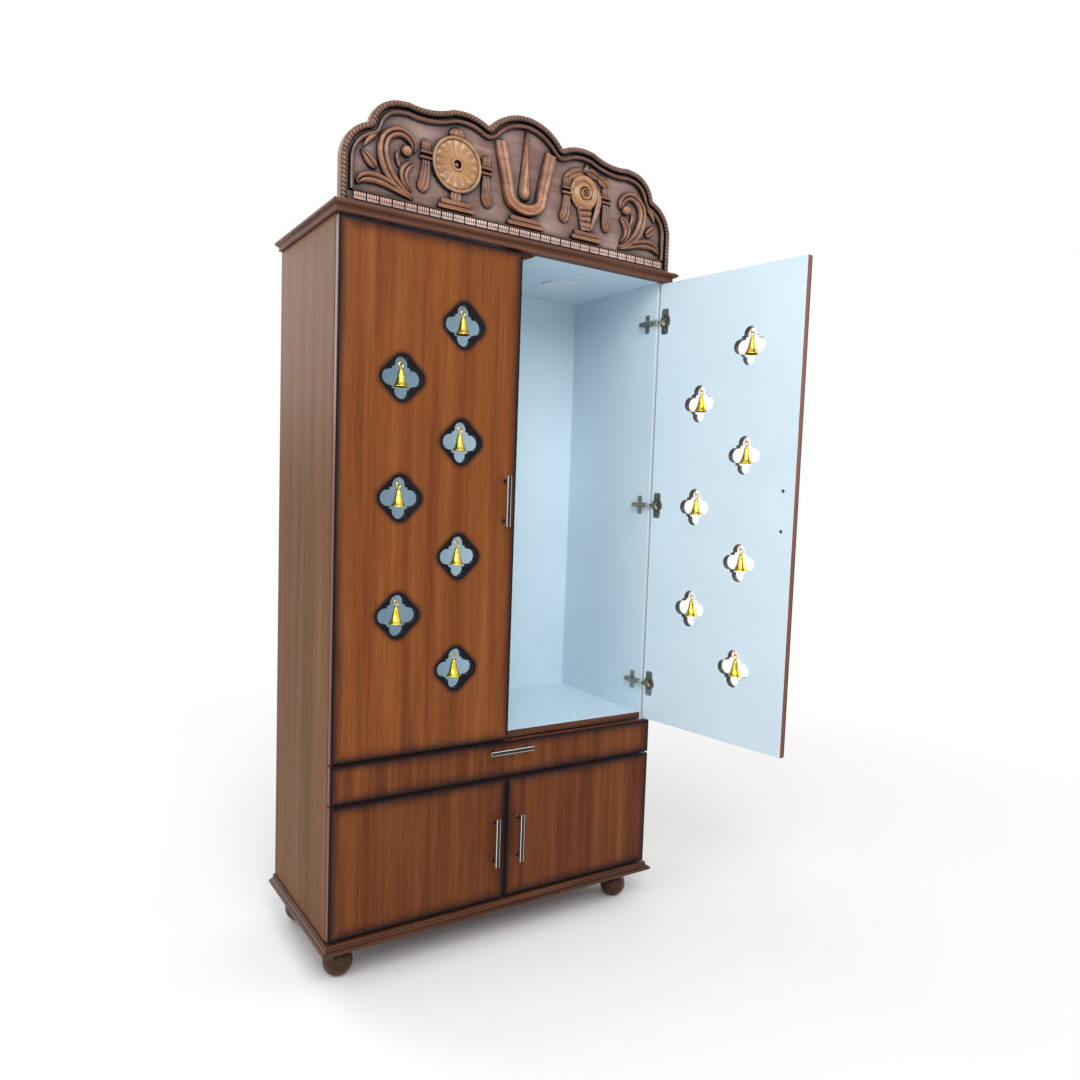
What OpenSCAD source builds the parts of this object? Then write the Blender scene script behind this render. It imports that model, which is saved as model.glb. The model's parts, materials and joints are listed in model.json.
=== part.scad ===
// Pooja mandir: a home shrine cabinet with a carved crest, two tall doors hung
// with brass bells, a drawer and a lower cupboard, on four ball feet.
// The origin is on the floor under the front left foot. +Z is up and the doors
// face -Y. The right tall door stands open, as such a cabinet is shown.

/* [Cabinet] */
// Width over the two side panels
cabinet_w = 900; // [820:10:1000]
// Depth of the side panels
cabinet_d = 395; // [350:5:460]
// Height of the side panels
cabinet_h = 1590; // [1500:10:1700]
// Thickness of the boards, doors and shelves
board_t = 18; // [17:0.5:20]
// Thickness of the back panel
back_t = 9; // [6:1:12]
// Gap round the doors and the drawer front
door_gap = 5; // [4:0.5:6]
// Gap between the carcass and the back of a closed door
door_back_gap = 3; // [2.5:0.25:4]
// Height of the two lower doors
lower_door_h = 306; // [280:2:330]
// Height of the drawer front
drawer_front_h = 88; // [84:1:110]

/* [Mouldings] */
// Thickness of the cornice board
cornice_t = 22; // [20:1:30]
// Overhang of the cornice past the doors and side panels
cornice_over = 18; // [12:1:24]
// Thickness of the base board
base_t = 22; // [20:1:30]
// Overhang of the base board past the doors and side panels
base_over = 16; // [12:1:24]
// Radius of the cove in both moulded edges
cove_r = 12; // [8:1:14]

/* [Feet] */
// Height of a foot from the floor to the base board
foot_h = 90; // [76:1:110]
// Diameter of the turned ball
foot_ball_d = 70; // [60:1:72]
// Diameter of the flat that a ball stands on
foot_flat_d = 26; // [20:1:34]
// Diameter of the neck above a ball
foot_neck_d = 34; // [28:1:40]
// Distance of a foot's centre from the outer faces of the carcass
foot_inset = 49; // [44:1:70]

/* [Tall doors] */
// Angle at which the right tall door stands open
open_angle = 98; // [0:1:100]
// Height from one bell opening to the next
bell_pitch = 132.5; // [125:0.5:140]
// Distance of the outer column of openings from the middle of the cabinet
bell_far_x = 301; // [290:1:320]
// Distance of the inner column of openings from the middle of the cabinet
bell_near_x = 152; // [140:1:170]
// Width of a four-lobed opening
lobe_span = 94; // [88:1:104]
// Diameter of each of its lobes
lobe_d = 40; // [36:1:42]
// Side of the square whose corners show between the lobes
lobe_square = 46; // [42:1:50]

/* [Bells] */
// Height of a bell without its ring
bell_h = 43; // [38:1:46]
// Diameter of the mouth of a bell
bell_mouth_d = 32; // [28:1:34]
// Thickness of the bell metal
bell_wall = 1.3; // [1.2:0.1:1.6]
// Outer diameter of the ring on top of a bell
ring_d = 12.4; // [12:0.2:13]
// Thickness of the ring
ring_t = 2; // [1.8:0.1:2.2]
// Diameter of the hook wire
hook_wire = 2; // [1.6:0.1:2.2]
// Height of the hook under the top of its opening
hook_drop = 15.3; // [13:0.1:17]
// Diameter of the clapper ball
clapper_d = 6; // [5:0.5:6.5]

/* [Hinges] */
// Depth of the hinge axis behind the carcass front, inside the door
axis_depth = 12; // [11.5:0.25:13]
// Distance of the hinge axis from the outer face of the side panel
axis_inset = 5.5; // [5:0.25:6]
// Distance of a tall door's end hinges from its ends
tall_hinge_end = 100; // [80:1:130]
// Distance of a lower door's hinges from its ends
lower_hinge_end = 62; // [50:1:80]
// Diameter of the hinge cup let into the door
cup_d = 35; // [34:0.5:36]
// Depth of the hinge cup
cup_depth = 13; // [12.5:0.25:13.5]
// Wood left between the cup and the edge of the door
cup_edge = 3; // [2.5:0.25:4]
// Height of the flange screwed to the door
flange_h = 67; // [60:1:70]

/* [Handles] */
// Distance between the two posts of a bar handle
handle_pitch = 96; // [96:32:128]
// Length of the bar
handle_l = 122; // [120:1:150]
// Height that the handle stands off the door
handle_out = 27; // [25:1:34]
// Width of the bar
handle_w = 11; // [9:1:13]
// Thickness of the bar
handle_t = 8; // [6:1:9]
// Diameter of the posts
handle_post_d = 8; // [7:1:10]
// Distance of a door handle from the free edge of its door
handle_edge = 32; // [26:1:40]
// Distance of the drawer handle from the top of the drawer front
drawer_handle_drop = 19; // [14:1:30]

/* [Drawer] */
// Height of the drawer sides
drawer_side_h = 60; // [50:1:64]
// Space between the drawer box and the back panel
drawer_back_gap = 39; // [30:1:90]
// Thickness of the drawer sides, front and back
drawer_side_t = 12; // [10:1:15]
// Thickness of the drawer bottom
drawer_bottom_t = 6; // [4:1:9]
// Space for the runner on each side of the drawer
runner_space = 13; // [12.5:0.25:14]
// Height of the runner's channel
runner_h = 35; // [30:1:38]

/* [Crest] */
// Height of the crest in the middle
crest_h = 286; // [250:2:320]
// Thickness of the crest over its rim and carving
crest_t = 25; // [22:1:30]
// Thickness of the plate behind the carving
crest_plate_t = 15; // [12:1:17]
// Distance of the crest's front from the carcass front
crest_forward = 25; // [20:1:30]
// Inset of the crest's ends from the outer faces of the side panels
crest_end_inset = 2; // [0:1:20]
// Width of the roped rim
rim_w = 17; // [14:1:18]
// Width of the groove inside the rim
groove_w = 7; // [5:1:9]
// Width of the fillet inside the groove
fillet_w = 6; // [4:1:7]
// Height of the fillet over the field
fillet_t = 6; // [4:1:8]

/* [Fittings] */
// Diameter of a ceiling light
light_d = 106; // [90:1:120]
// Distance of a ceiling light from the middle of the cabinet
light_x = 251; // [200:1:300]
// Thickness of the light below the ceiling
light_t = 5; // [4:0.5:8]
// Width of the door stop under the ceiling
stop_w = 100; // [80:1:120]
// Height of the door stop
stop_h = 14; // [10:1:20]

/* [Hidden] */
$fn = 48;
EPS = 0.01;
// clearances
fit = 0.3;
edge_set = 0.5;
// heights from the floor
base_z = foot_h;
carcass_z = base_z + base_t;
cornice_z = carcass_z + cabinet_h;
crest_z = cornice_z + cornice_t;
lower_door_z = carcass_z + door_gap;
drawer_front_z = lower_door_z + lower_door_h + door_gap;
tall_door_z = drawer_front_z + drawer_front_h + door_gap;
tall_door_h = cornice_z - door_gap - tall_door_z;
tall_door_mid = tall_door_z + tall_door_h / 2;
deck_z = drawer_front_z - door_gap / 2 - board_t / 2;
shelf_z = drawer_front_z + drawer_front_h + 2;
// depths, front to back
front_y = -cabinet_d / 2;
rear_y = cabinet_d / 2;
door_y = front_y - door_back_gap - board_t;
door_in_y = front_y - door_back_gap;
inner_l = cabinet_d - back_t;
// widths, from the middle out
half_w = cabinet_w / 2;
wall_x = half_w - board_t;
door_out_x = half_w - edge_set;
door_w = door_out_x - door_gap / 2;
// hinges
axis_x = half_w - axis_inset;
axis_y = front_y - axis_depth;
cup_x = door_out_x - cup_edge - cup_d / 2;
cup_wall = 1;
flange_t = 1.2;
flange_w = 24;
arm_z = 12;
arm_l = 62;
arm_t = 11;
plate_t = 2;
wing_w = 18;
wing_h = 50;
wing_y = front_y + 37;
link_t = 1.4;
link_z = 10;
link_clear = 0.5;
// the link's tip stays this far from the axis, so that the cup turns round it
link_reach = 8;
// handles
handle_x = door_gap / 2 + handle_edge;
// bells
bell_count = 7;
hook_r = hook_wire / 2;
ring_r = ring_d / 2 - ring_t / 2;
ring_down = ring_r - ring_t / 2 - hook_r - fit;
bell_y = (door_y + door_in_y) / 2;
hook_half = 5;
bell_top = -ring_down - ring_r;
bell_mouth = bell_top - bell_h;
// drawer
drawer_l = rear_y - back_t - drawer_back_gap - door_in_y;
drawer_z = deck_z + board_t + 8;
drawer_half = wall_x - runner_space;
drawer_mid_z = drawer_z + drawer_side_h / 2;
runner_wall = 1.2;
slide_plate_t = 2;
// crest
crest_half = half_w - crest_end_inset;
crest_front = front_y - crest_forward;
relief_t = crest_t - crest_plate_t;
// the crest is drawn for a height of 286 and a half width of 448, and its carving
// follows its height in size and its width in place
carve = crest_h / 286;
spread = crest_half / 448;

WOOD = "sienna";
DARK_WOOD = "saddlebrown";
WHITE = "aliceblue";
BRASS = "gold";
STEEL = "silver";

bell_names = ["bell_1", "bell_2", "bell_3", "bell_4", "bell_5", "bell_6", "bell_7"];

// Places and motions

// The cabinet is drawn about the middle of its carcass, and this moves it so
// that the front left foot stands on the origin
module on_origin() {
    translate([half_w - foot_inset, cabinet_d / 2 - foot_inset, 0])
        children();
}

// A right-hand door turned about its hinge axis
module swung(angle) {
    translate([axis_x, axis_y, 0])
        rotate([0, 0, angle])
            translate([-axis_x, -axis_y, 0])
                children();
}

// The same thing on the left
module left() {
    mirror([1, 0, 0])
        children();
}

module both_sides() {
    children();
    left()
        children();
}

// Heights of the hinges of a door, from its bottom, its height and its end distance
function hinge_zs(z, h, end, count) = [for (i = [0 : count - 1]) z + end + i * (h - 2 * end) / (count - 1)];

tall_zs = hinge_zs(tall_door_z, tall_door_h, tall_hinge_end, 3);
lower_zs = hinge_zs(lower_door_z, lower_door_h, lower_hinge_end, 2);

// Centre of bell opening i, counted from the top, on the right-hand side
function bell_x(i) = i % 2 == 0 ? bell_near_x : bell_far_x;
function bell_z(i) = tall_door_mid + ((bell_count - 1) / 2 - i) * bell_pitch;
function hook_z(i) = bell_z(i) + lobe_span / 2 - hook_drop;

// Carcass

module side_panel() {
    translate([wall_x, front_y, carcass_z])
        cube([board_t, cabinet_d, cabinet_h]);
}

module back_panel() {
    color(WHITE)
        translate([-wall_x, rear_y - back_t, carcass_z])
            cube([2 * wall_x, back_t, cabinet_h]);
}

module inner_board(z) {
    translate([-wall_x, front_y, z])
        cube([2 * wall_x, inner_l, board_t]);
}

// A board with a coved edge at the front and sides, its full width at its top
module moulded_board(t, over) {
    top_half = half_w + over;
    top_front = door_y - over;
    lip = t - cove_r;
    difference() {
        translate([-top_half, top_front, 0])
            cube([2 * top_half, rear_y - top_front, t]);
        translate([-top_half - EPS, top_front, 0])
            rotate([0, 90, 0])
                cylinder(r = cove_r, h = 2 * top_half + 2 * EPS);
        for (side = [-1, 1])
            translate([side * top_half, rear_y + EPS, 0])
                rotate([90, 0, 0])
                    cylinder(r = cove_r, h = rear_y - top_front + 2 * EPS);
    }
}

module cornice_board() {
    color(WOOD)
        translate([0, 0, cornice_z])
            moulded_board(cornice_t, cornice_over);
}

module base_board() {
    color(WOOD)
        translate([0, 0, carcass_z])
            mirror([0, 0, 1])
                moulded_board(base_t, base_over);
}

// A turned ball foot: a ball with a flat under it and a neck above
module ball_foot() {
    ball_r = foot_ball_d / 2;
    flat_r = foot_flat_d / 2;
    ball_z = sqrt(ball_r * ball_r - flat_r * flat_r);
    rotate_extrude()
        union() {
            intersection() {
                translate([0, ball_z])
                    circle(r = ball_r);
                square([ball_r, foot_h]);
            }
            translate([0, ball_z])
                square([foot_neck_d / 2, foot_h - ball_z]);
        }
}

module ball_feet() {
    color(DARK_WOOD)
        for (sx = [-1, 1])
            for (sy = [-1, 1])
                translate([sx * (half_w - foot_inset), sy * (cabinet_d / 2 - foot_inset), 0])
                    ball_foot();
}

module ceiling_lights() {
    color(WHITE)
        for (side = [-1, 1])
            translate([side * light_x, 0, cornice_z - light_t])
                cylinder(d = light_d, h = light_t);
}

module door_stop() {
    color(WOOD)
        translate([0, front_y, cornice_z - stop_h])
            intersection() {
                translate([-stop_w / 2, 0, 0])
                    cube([stop_w, board_t, stop_h]);
                translate([0, 0, stop_w * 0.8])
                    rotate([-90, 0, 0])
                        cylinder(r = stop_w * 0.8, h = board_t);
            }
}

// Crest

// Half of the outline: a round shoulder, a side lobe with a dip in its top, and
// the middle lobe
module crest_half_outline() {
    shoulder_r = 90 * carve;
    square([crest_half, shoulder_r]);
    translate([crest_half - shoulder_r, shoulder_r])
        circle(r = shoulder_r);
    square([crest_half - shoulder_r, 150 * carve]);
    difference() {
        hull() {
            translate([312 * spread, 160 * carve])
                circle(r = 76 * carve);
            translate([162 * spread, 124 * carve])
                circle(r = 130 * carve);
        }
        translate([266 * spread, 407 * carve])
            circle(r = 172 * carve);
    }
    translate([0, 156 * carve])
        circle(r = 130 * carve);
}

module crest_outline() {
    intersection() {
        union() {
            crest_half_outline();
            mirror([1, 0])
                crest_half_outline();
        }
        translate([-crest_half, 0])
            square([2 * crest_half, crest_h]);
    }
}

// A band inside the outline, from one distance to another
module outline_band(from, to) {
    difference() {
        offset(r = -from)
            crest_outline();
        offset(r = -to)
            crest_outline();
    }
}

// Stands a flat shape up on the crest, its thickness going back from y
module upright(y, t) {
    translate([0, y + t, crest_z])
        rotate([90, 0, 0])
            linear_extrude(height = t)
                children();
}

module crest_board() {
    color(DARK_WOOD)
        upright(crest_front + relief_t, crest_plate_t)
            crest_outline();
}

module crest_rim() {
    fillet_from = rim_w + groove_w;
    color(DARK_WOOD) {
        upright(crest_front, relief_t)
            outline_band(0, rim_w);
        upright(crest_front + relief_t - fillet_t, fillet_t)
            outline_band(fillet_from, fillet_from + fillet_w);
    }
}

// A carved piece on the field of the crest. It is drawn lying down with its
// front up, and x and z are its place on the drawing.
module carved(x, z) {
    color(DARK_WOOD)
        translate([x * spread, crest_front + relief_t, crest_z + z * carve])
            rotate([90, 0, 0])
                scale(carve)
                    children();
}

// Cross-section of a bead that stands on the field, w wide and h high
module bead_section(w, h) {
    r = (w * w / 4 + h * h) / (2 * h);
    intersection() {
        translate([0, h - r])
            circle(r = r);
        translate([-w / 2, 0])
            square([w, h]);
    }
}

// A bead that follows an arc round the origin
module arc_bead(r, from, sweep, w, h) {
    rotate([0, 0, from])
        rotate_extrude(angle = sweep)
            translate([r, 0])
                bead_section(w, h);
}

// A bead wound inwards in quarter turns, each tighter than the last and
// starting where the last one ends
module spiral_bead(r, w, h, quarters) {
    tighter = 0.86;
    if (quarters > 0) {
        arc_bead(r, 0, 90, w, h);
        translate([0, r - r * tighter, 0])
            rotate([0, 0, 90])
                spiral_bead(r * tighter, w, h, quarters - 1);
    }
}

// Keeps the part of a carved piece that stands out of the field
module above_field() {
    reach = 200;
    intersection() {
        children();
        translate([-reach, -reach, 0])
            cube([2 * reach, 2 * reach, reach]);
    }
}

// A stepped foot under an emblem, narrower by a step on each side at the top
module plinth(w, h, step) {
    translate([-w / 2, 0, 0])
        cube([w, h, 6]);
    translate([step - w / 2, h - EPS, 0])
        cube([w - 2 * step, h, 5]);
}

// A tied ribbon on the right of an emblem: a flap over two bands, and a tail
// that hangs from them and leans outwards
module ribbon(tail_l) {
    band = [27, 9, 5];
    bend_r = 180;
    for (z = [0, 12])
        translate([0, z, 0])
            cube(band);
    translate([2, 8, 0])
        cube([23, 5, 2.5]);
    translate([0, 20, 0])
        linear_extrude(height = 4)
            polygon([[0, 0], [26, 0], [22, 22], [5, 20]]);
    translate([13 + bend_r, 1, 0])
        arc_bead(bend_r, 180, asin(tail_l / bend_r), 21, 6);
}

// A ribbon on each side, at the same distance from the middle of an emblem
module ribbons(out, z, tail_l) {
    both_sides()
        translate([out, z, 0])
            ribbon(tail_l);
}

// A dished wheel with petals between its hub and its rim
module wheel(r, petals) {
    hub_r = 16;
    petal_l = r - 8 - hub_r;
    rotate_extrude()
        polygon([[0, 0], [r, 0], [r, 5], [r - 2, 7], [r - 6, 7], [r - 8, 3],
                 [hub_r + 2, 2.5], [hub_r, 6.5], [hub_r - 3, 7], [hub_r - 6, 3], [0, 3]]);
    cylinder(r1 = 8, r2 = 5, h = 6);
    above_field()
        for (k = [0 : petals - 1])
            rotate([0, 0, k * 360 / petals])
                translate([hub_r, 0, -2])
                    rotate([0, 90, 0])
                        cylinder(r1 = 4.4, r2 = 8, h = petal_l);
}

module crest_wheel() {
    carved(-180, 134)
        wheel(59.5, 16);
    carved(-180, 32)
        plinth(92, 12, 7);
    carved(-180, 55)
        translate([-14, 0, 0])
            cube([28, 24, 4.5]);
    carved(-180, 190)
        linear_extrude(height = 5)
            polygon([[-18, 0], [18, 0], [20, 12], [10, 20], [0, 27], [-10, 20], [-20, 12]]);
    carved(-180, 128)
        ribbons(61, 0, 74);
}

// Outline of the centre mark: two arms that run up from a round bottom and lean
// outwards
module cup_outline(bottom_r, lean, arm_h) {
    low = bottom_r - 1;
    top = low + arm_h * tan(lean);
    circle(r = bottom_r);
    polygon([[-low, 0], [low, 0], [top, arm_h], [-top, arm_h]]);
}

module cup_mark(edge, h) {
    linear_extrude(height = h)
        difference() {
            cup_outline(58 - edge, 13.6, 101 - edge);
            translate([0, 3])
                cup_outline(29 + edge, 15, 120);
        }
}

// The flame-shaped stroke between the arms, round at the bottom
module stroke(r, l, tip, h) {
    linear_extrude(height = h) {
        circle(r = r);
        polygon([[1 - r, 0], [r - 1, 0], [tip, l], [-tip, l]]);
    }
}

module crest_centre_mark() {
    carved(0, 113) {
        cup_mark(0, 5);
        cup_mark(4, 8);
    }
    carved(0, 109) {
        stroke(17, 142, 3, 5);
        stroke(11, 136, 1, 8.5);
    }
    carved(0, 33)
        plinth(100, 11, 8);
}

// A conch: a coiled crown over a ribbed body that narrows downwards
module conch() {
    crown_r = 41;
    body_top = -16;
    body_l = 72;
    ribs = 5;
    sink = -13;
    rotate_extrude()
        polygon([[0, 0], [crown_r, 0], [crown_r - 2, 3], [0, 3]]);
    translate([0, 0, 2.5])
        spiral_bead(33, 9, 5, 10);
    above_field() {
        translate([0, body_top, sink])
            rotate([90, 0, 0])
                cylinder(r1 = 22, r2 = 18, h = body_l);
        for (k = [0 : ribs - 1])
            translate([0, body_top - 16 - k * 12, sink])
                rotate([90, 0, 0])
                    cylinder(r = 22.4 - k * 0.7, h = 5);
    }
}

module crest_conch() {
    carved(170, 148) {
        conch();
        linear_extrude(height = 2.5)
            polygon([[-40, -12], [-44, 20], [-24, 42], [-6, 50], [0, 69], [10, 52], [32, 44], [62, 40],
                     [76, 24], [58, 6], [44, -10], [30, -50], [12, -60]]);
    }
    carved(178, 35)
        plinth(92, 13, 8);
    carved(173, 132)
        ribbons(52, 0, 72);
}

// The scrollwork at one end: a stem that curls over into a bud, a low leaf and
// a dart
module scroll() {
    stem_r = 80;
    curl_r = 42;
    eye_r = 19;
    bead_w = 17;
    bead_h = 7;
    // the stem and the curl meet at the outside, and the eye at the inside
    translate([stem_r - curl_r, 0, 0])
        arc_bead(stem_r, 180, 78, bead_w, bead_h);
    arc_bead(curl_r, 0, 180, bead_w, bead_h);
    translate([curl_r - eye_r, 0, 0]) {
        arc_bead(eye_r, 270, 90, bead_w, bead_h);
        above_field()
            translate([-3, 0, -4])
                sphere(r = 13);
    }
    above_field()
        translate([-38, -44, -1])
            rotate([0, -84, -30])
                cylinder(r1 = 8, r2 = 2, h = 44);
}

module low_leaf() {
    leaf_r = 143;
    hook_r = 12;
    sweep = 50;
    rotate([0, 0, 54]) {
        arc_bead(leaf_r, 0, sweep, 18, 7);
        rotate([0, 0, sweep])
            translate([leaf_r - hook_r, 0, 0])
                arc_bead(hook_r, 0, 120, 15, 6);
    }
}

module crest_scrolls() {
    both_sides()
        carved(-321, 127)
            scroll();
    both_sides()
        carved(-365, -76)
            low_leaf();
}

// Hinges, drawn on the right-hand side

// The arm and its mounting plate on the side panel, with the link that reaches
// into the cup of the closed door
module hinge_arm(z) {
    arm_front = door_in_y - cup_depth + cup_wall / 2 + link_clear;
    translate([wall_x, 0, z]) {
        translate([-plate_t, wing_y - wing_w / 2, -wing_h / 2])
            cube([plate_t, wing_w, wing_h]);
        translate([-plate_t - arm_t, front_y, -arm_z / 2])
            cube([plate_t + arm_t, arm_l, arm_z]);
        translate([-plate_t - arm_t, arm_front, -link_z / 2])
            cube([arm_t, front_y - arm_front + EPS, link_z]);
    }
    translate([wall_x - plate_t - EPS, arm_front, z - link_z / 2])
        cube([axis_x - link_reach - wall_x + plate_t, link_t, link_z]);
}

module hinge_cup_hole(z) {
    translate([cup_x, door_in_y + 1, z])
        rotate([90, 0, 0])
            cylinder(d = cup_d, h = cup_depth + 1);
}

module hinge_cup(z) {
    translate([cup_x, door_in_y, z])
        difference() {
            union() {
                rotate([90, 0, 0])
                    cylinder(d = cup_d, h = cup_depth);
                translate([-flange_w / 2, 0, -flange_h / 2])
                    cube([flange_w, flange_t, flange_h]);
                rotate([-90, 0, 0])
                    cylinder(d = cup_d + 2, h = flange_t);
            }
            rotate([90, 0, 0])
                cylinder(d = cup_d - 2 * cup_wall, h = cup_depth - cup_wall / 2);
            translate([0, flange_t + EPS, 0])
                rotate([90, 0, 0])
                    cylinder(d = cup_d - cup_wall, h = flange_t + 2 * EPS);
        }
}

module hinge_cups(zs) {
    color(STEEL)
        for (z = zs)
            hinge_cup(z);
}

module hinge_arms(zs) {
    color(STEEL)
        both_sides()
            for (z = zs)
                hinge_arm(z);
}

// Handles

// A bar handle on posts, centred on the origin, upright and facing -Y
module bar_handle() {
    color(STEEL) {
        translate([-handle_w / 2, -handle_out, -handle_l / 2])
            cube([handle_w, handle_t, handle_l]);
        for (end = [-1, 1])
            translate([0, EPS - handle_out + handle_t, end * handle_pitch / 2])
                rotate([-90, 0, 0])
                    translate([0, 0, -2 * EPS])
                        cylinder(d = handle_post_d, h = handle_out - handle_t + EPS);
    }
}

// Tall doors, drawn on the right-hand side

module quatrefoil_hole() {
    lobe_off = (lobe_span - lobe_d) / 2;
    rotate([90, 0, 0]) {
        for (a = [0 : 90 : 270])
            rotate([0, 0, a])
                translate([lobe_off, 0, -board_t])
                    cylinder(d = lobe_d, h = 2 * board_t);
        translate([-lobe_square / 2, -lobe_square / 2, -board_t])
            cube([lobe_square, lobe_square, 2 * board_t]);
    }
}

module tall_door() {
    color(WOOD)
        difference() {
            translate([door_gap / 2, door_y, tall_door_z])
                cube([door_w, board_t, tall_door_h]);
            for (i = [0 : bell_count - 1])
                translate([bell_x(i), bell_y, bell_z(i)])
                    quatrefoil_hole();
            for (z = tall_zs)
                hinge_cup_hole(z);
        }
}

module tall_handle() {
    translate([handle_x, door_y, tall_door_mid])
        bar_handle();
}

// A wire hook that comes down from the top of an opening
module bell_hook() {
    translate([0, hook_half, 0])
        cylinder(r = hook_r, h = hook_drop);
    translate([0, hook_half + hook_r, 0])
        rotate([90, 0, 0])
            cylinder(r = hook_r, h = 2 * hook_half + 2 * hook_r);
    translate([0, -hook_half, 0])
        cylinder(r = hook_r, h = 3);
}

module bell_hooks() {
    color(BRASS)
        for (i = [0 : bell_count - 1])
            translate([bell_x(i), bell_y, hook_z(i)])
                bell_hook();
}

// Outer radius of a bell, where t is 0 at the mouth and 1 at the crown
function bell_r(t) = bell_mouth_d / 2 * (0.36 + 0.64 * pow(1 - t, 3.2));

// A bell hanging with its ring on the hook wire at the origin
module bell() {
    steps = 7;
    crown_r = bell_r(1);
    outer = [for (k = [0 : steps]) [bell_r(k / steps), bell_mouth + bell_h * 0.9 * k / steps]];
    inner = [for (k = [steps : -1 : 0])
        [bell_r(k / steps) - bell_wall, bell_mouth + (bell_h * 0.9 - 2 * bell_wall) * k / steps]];
    crown_z = bell_mouth + bell_h * 0.9;
    color(BRASS) {
        rotate_extrude()
            polygon(concat(outer, [[0, crown_z + 1.5]], [[0, crown_z - 2 * bell_wall]], inner));
        translate([0, 0, crown_z - 1])
            cylinder(r = 2.4, h = bell_top - crown_z + 1.6);
        translate([0, 0, -ring_down])
            rotate([90, 0, 0])
                rotate_extrude()
                    translate([ring_r, 0])
                        circle(d = ring_t, $fn = 24);
        translate([0, 0, bell_mouth + 7])
            cylinder(r = 0.8, h = crown_z - 2 * bell_wall - bell_mouth - 6);
        translate([0, 0, bell_mouth + 5])
            sphere(d = clapper_d);
    }
}

module hung_bell(i) {
    translate([bell_x(i), bell_y, hook_z(i)])
        bell();
}

// Lower doors, drawn on the right-hand side

module lower_door() {
    color(WOOD)
        difference() {
            translate([door_gap / 2, door_y, lower_door_z])
                cube([door_w, board_t, lower_door_h]);
            for (z = lower_zs)
                hinge_cup_hole(z);
        }
}

module lower_handle() {
    translate([handle_x, door_y, lower_door_z + lower_door_h / 2])
        bar_handle();
}

// Drawer

module drawer_front() {
    color(WOOD)
        translate([-door_out_x, door_y, drawer_front_z])
            cube([2 * door_out_x, board_t, drawer_front_h]);
}

module drawer_handle() {
    translate([0, door_y, drawer_front_z + drawer_front_h - drawer_handle_drop])
        rotate([0, 90, 0])
            bar_handle();
}

module drawer_box() {
    inner_half = drawer_half - drawer_side_t;
    color(WHITE)
        difference() {
            translate([-drawer_half, door_in_y, drawer_z])
                cube([2 * drawer_half, drawer_l, drawer_side_h]);
            translate([-inner_half, door_in_y + drawer_side_t, drawer_z - EPS])
                cube([2 * inner_half, drawer_l - 2 * drawer_side_t, drawer_side_h + 2 * EPS]);
        }
}

module drawer_bottom() {
    inner_half = drawer_half - drawer_side_t;
    color(WHITE)
        translate([-inner_half, door_in_y + drawer_side_t, drawer_z])
            cube([2 * inner_half, drawer_l - 2 * drawer_side_t, drawer_bottom_t]);
}

// A channel on each side panel, open towards the drawer
module drawer_runners() {
    channel_d = runner_space - slide_plate_t - fit;
    color(STEEL)
        both_sides()
            difference() {
                translate([wall_x - channel_d, front_y, drawer_mid_z - runner_h / 2])
                    cube([channel_d, drawer_l, runner_h]);
                translate([wall_x - channel_d - EPS,
                           front_y - EPS,
                           drawer_mid_z - runner_h / 2 + runner_wall])
                    cube([channel_d - runner_wall, drawer_l + 2 * EPS, runner_h - 2 * runner_wall]);
            }
}

// A plate on each drawer side, with two lips that run in the channel
module drawer_slides() {
    slide_l = drawer_l - door_back_gap;
    lip_d = runner_space - slide_plate_t - runner_wall - fit;
    lip_half = runner_h / 2 - runner_wall - fit;
    color(STEEL)
        both_sides()
            translate([drawer_half, front_y, drawer_mid_z]) {
                translate([0, 0, -runner_h / 2])
                    cube([slide_plate_t, slide_l, runner_h]);
                for (lip_z = [-lip_half, lip_half - runner_wall])
                    translate([slide_plate_t - EPS, 0, lip_z])
                        cube([lip_d + EPS, slide_l, runner_wall]);
            }
}

on_origin() color(WOOD) left() side_panel();  // left_side_panel
on_origin() color(WOOD) side_panel();  // right_side_panel
on_origin() back_panel();
on_origin() cornice_board();
on_origin() base_board();
on_origin() color(WHITE) inner_board(shelf_z);  // shrine_shelf
on_origin() color(WHITE) inner_board(deck_z);  // drawer_deck
on_origin() ball_feet();
on_origin() ceiling_lights();
on_origin() door_stop();
on_origin() crest_board();
on_origin() crest_rim();
on_origin() crest_scrolls();
on_origin() crest_wheel();
on_origin() crest_centre_mark();
on_origin() crest_conch();
on_origin() hinge_arms(tall_zs);  // tall_hinge_arms
on_origin() hinge_arms(lower_zs);  // lower_hinge_arms
on_origin() drawer_runners();
on_origin() left() tall_door();  // left_tall_door
on_origin() left() tall_handle();  // left_tall_handle
on_origin() left() hinge_cups(tall_zs);  // left_tall_hinge_cups
on_origin() left() bell_hooks();  // left_bell_hooks
on_origin() swung(open_angle) tall_door();  // right_tall_door
on_origin() swung(open_angle) tall_handle();  // right_tall_handle
on_origin() swung(open_angle) hinge_cups(tall_zs);  // right_tall_hinge_cups
on_origin() swung(open_angle) bell_hooks();  // right_bell_hooks
on_origin() left() lower_door();  // lower_left_door
on_origin() left() lower_handle();  // lower_left_handle
on_origin() left() hinge_cups(lower_zs);  // lower_left_hinge_cups
on_origin() lower_door();  // lower_right_door
on_origin() lower_handle();  // lower_right_handle
on_origin() hinge_cups(lower_zs);  // lower_right_hinge_cups
on_origin() drawer_front();
on_origin() drawer_handle();
on_origin() drawer_box();
on_origin() drawer_bottom();
on_origin() drawer_slides();
for (i = [0 : bell_count - 1]) {
    on_origin() left() hung_bell(i);
    on_origin() swung(open_angle) hung_bell(i);
}
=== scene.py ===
import json
import math

import bmesh
import bpy
from mathutils import Matrix, Vector


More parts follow.
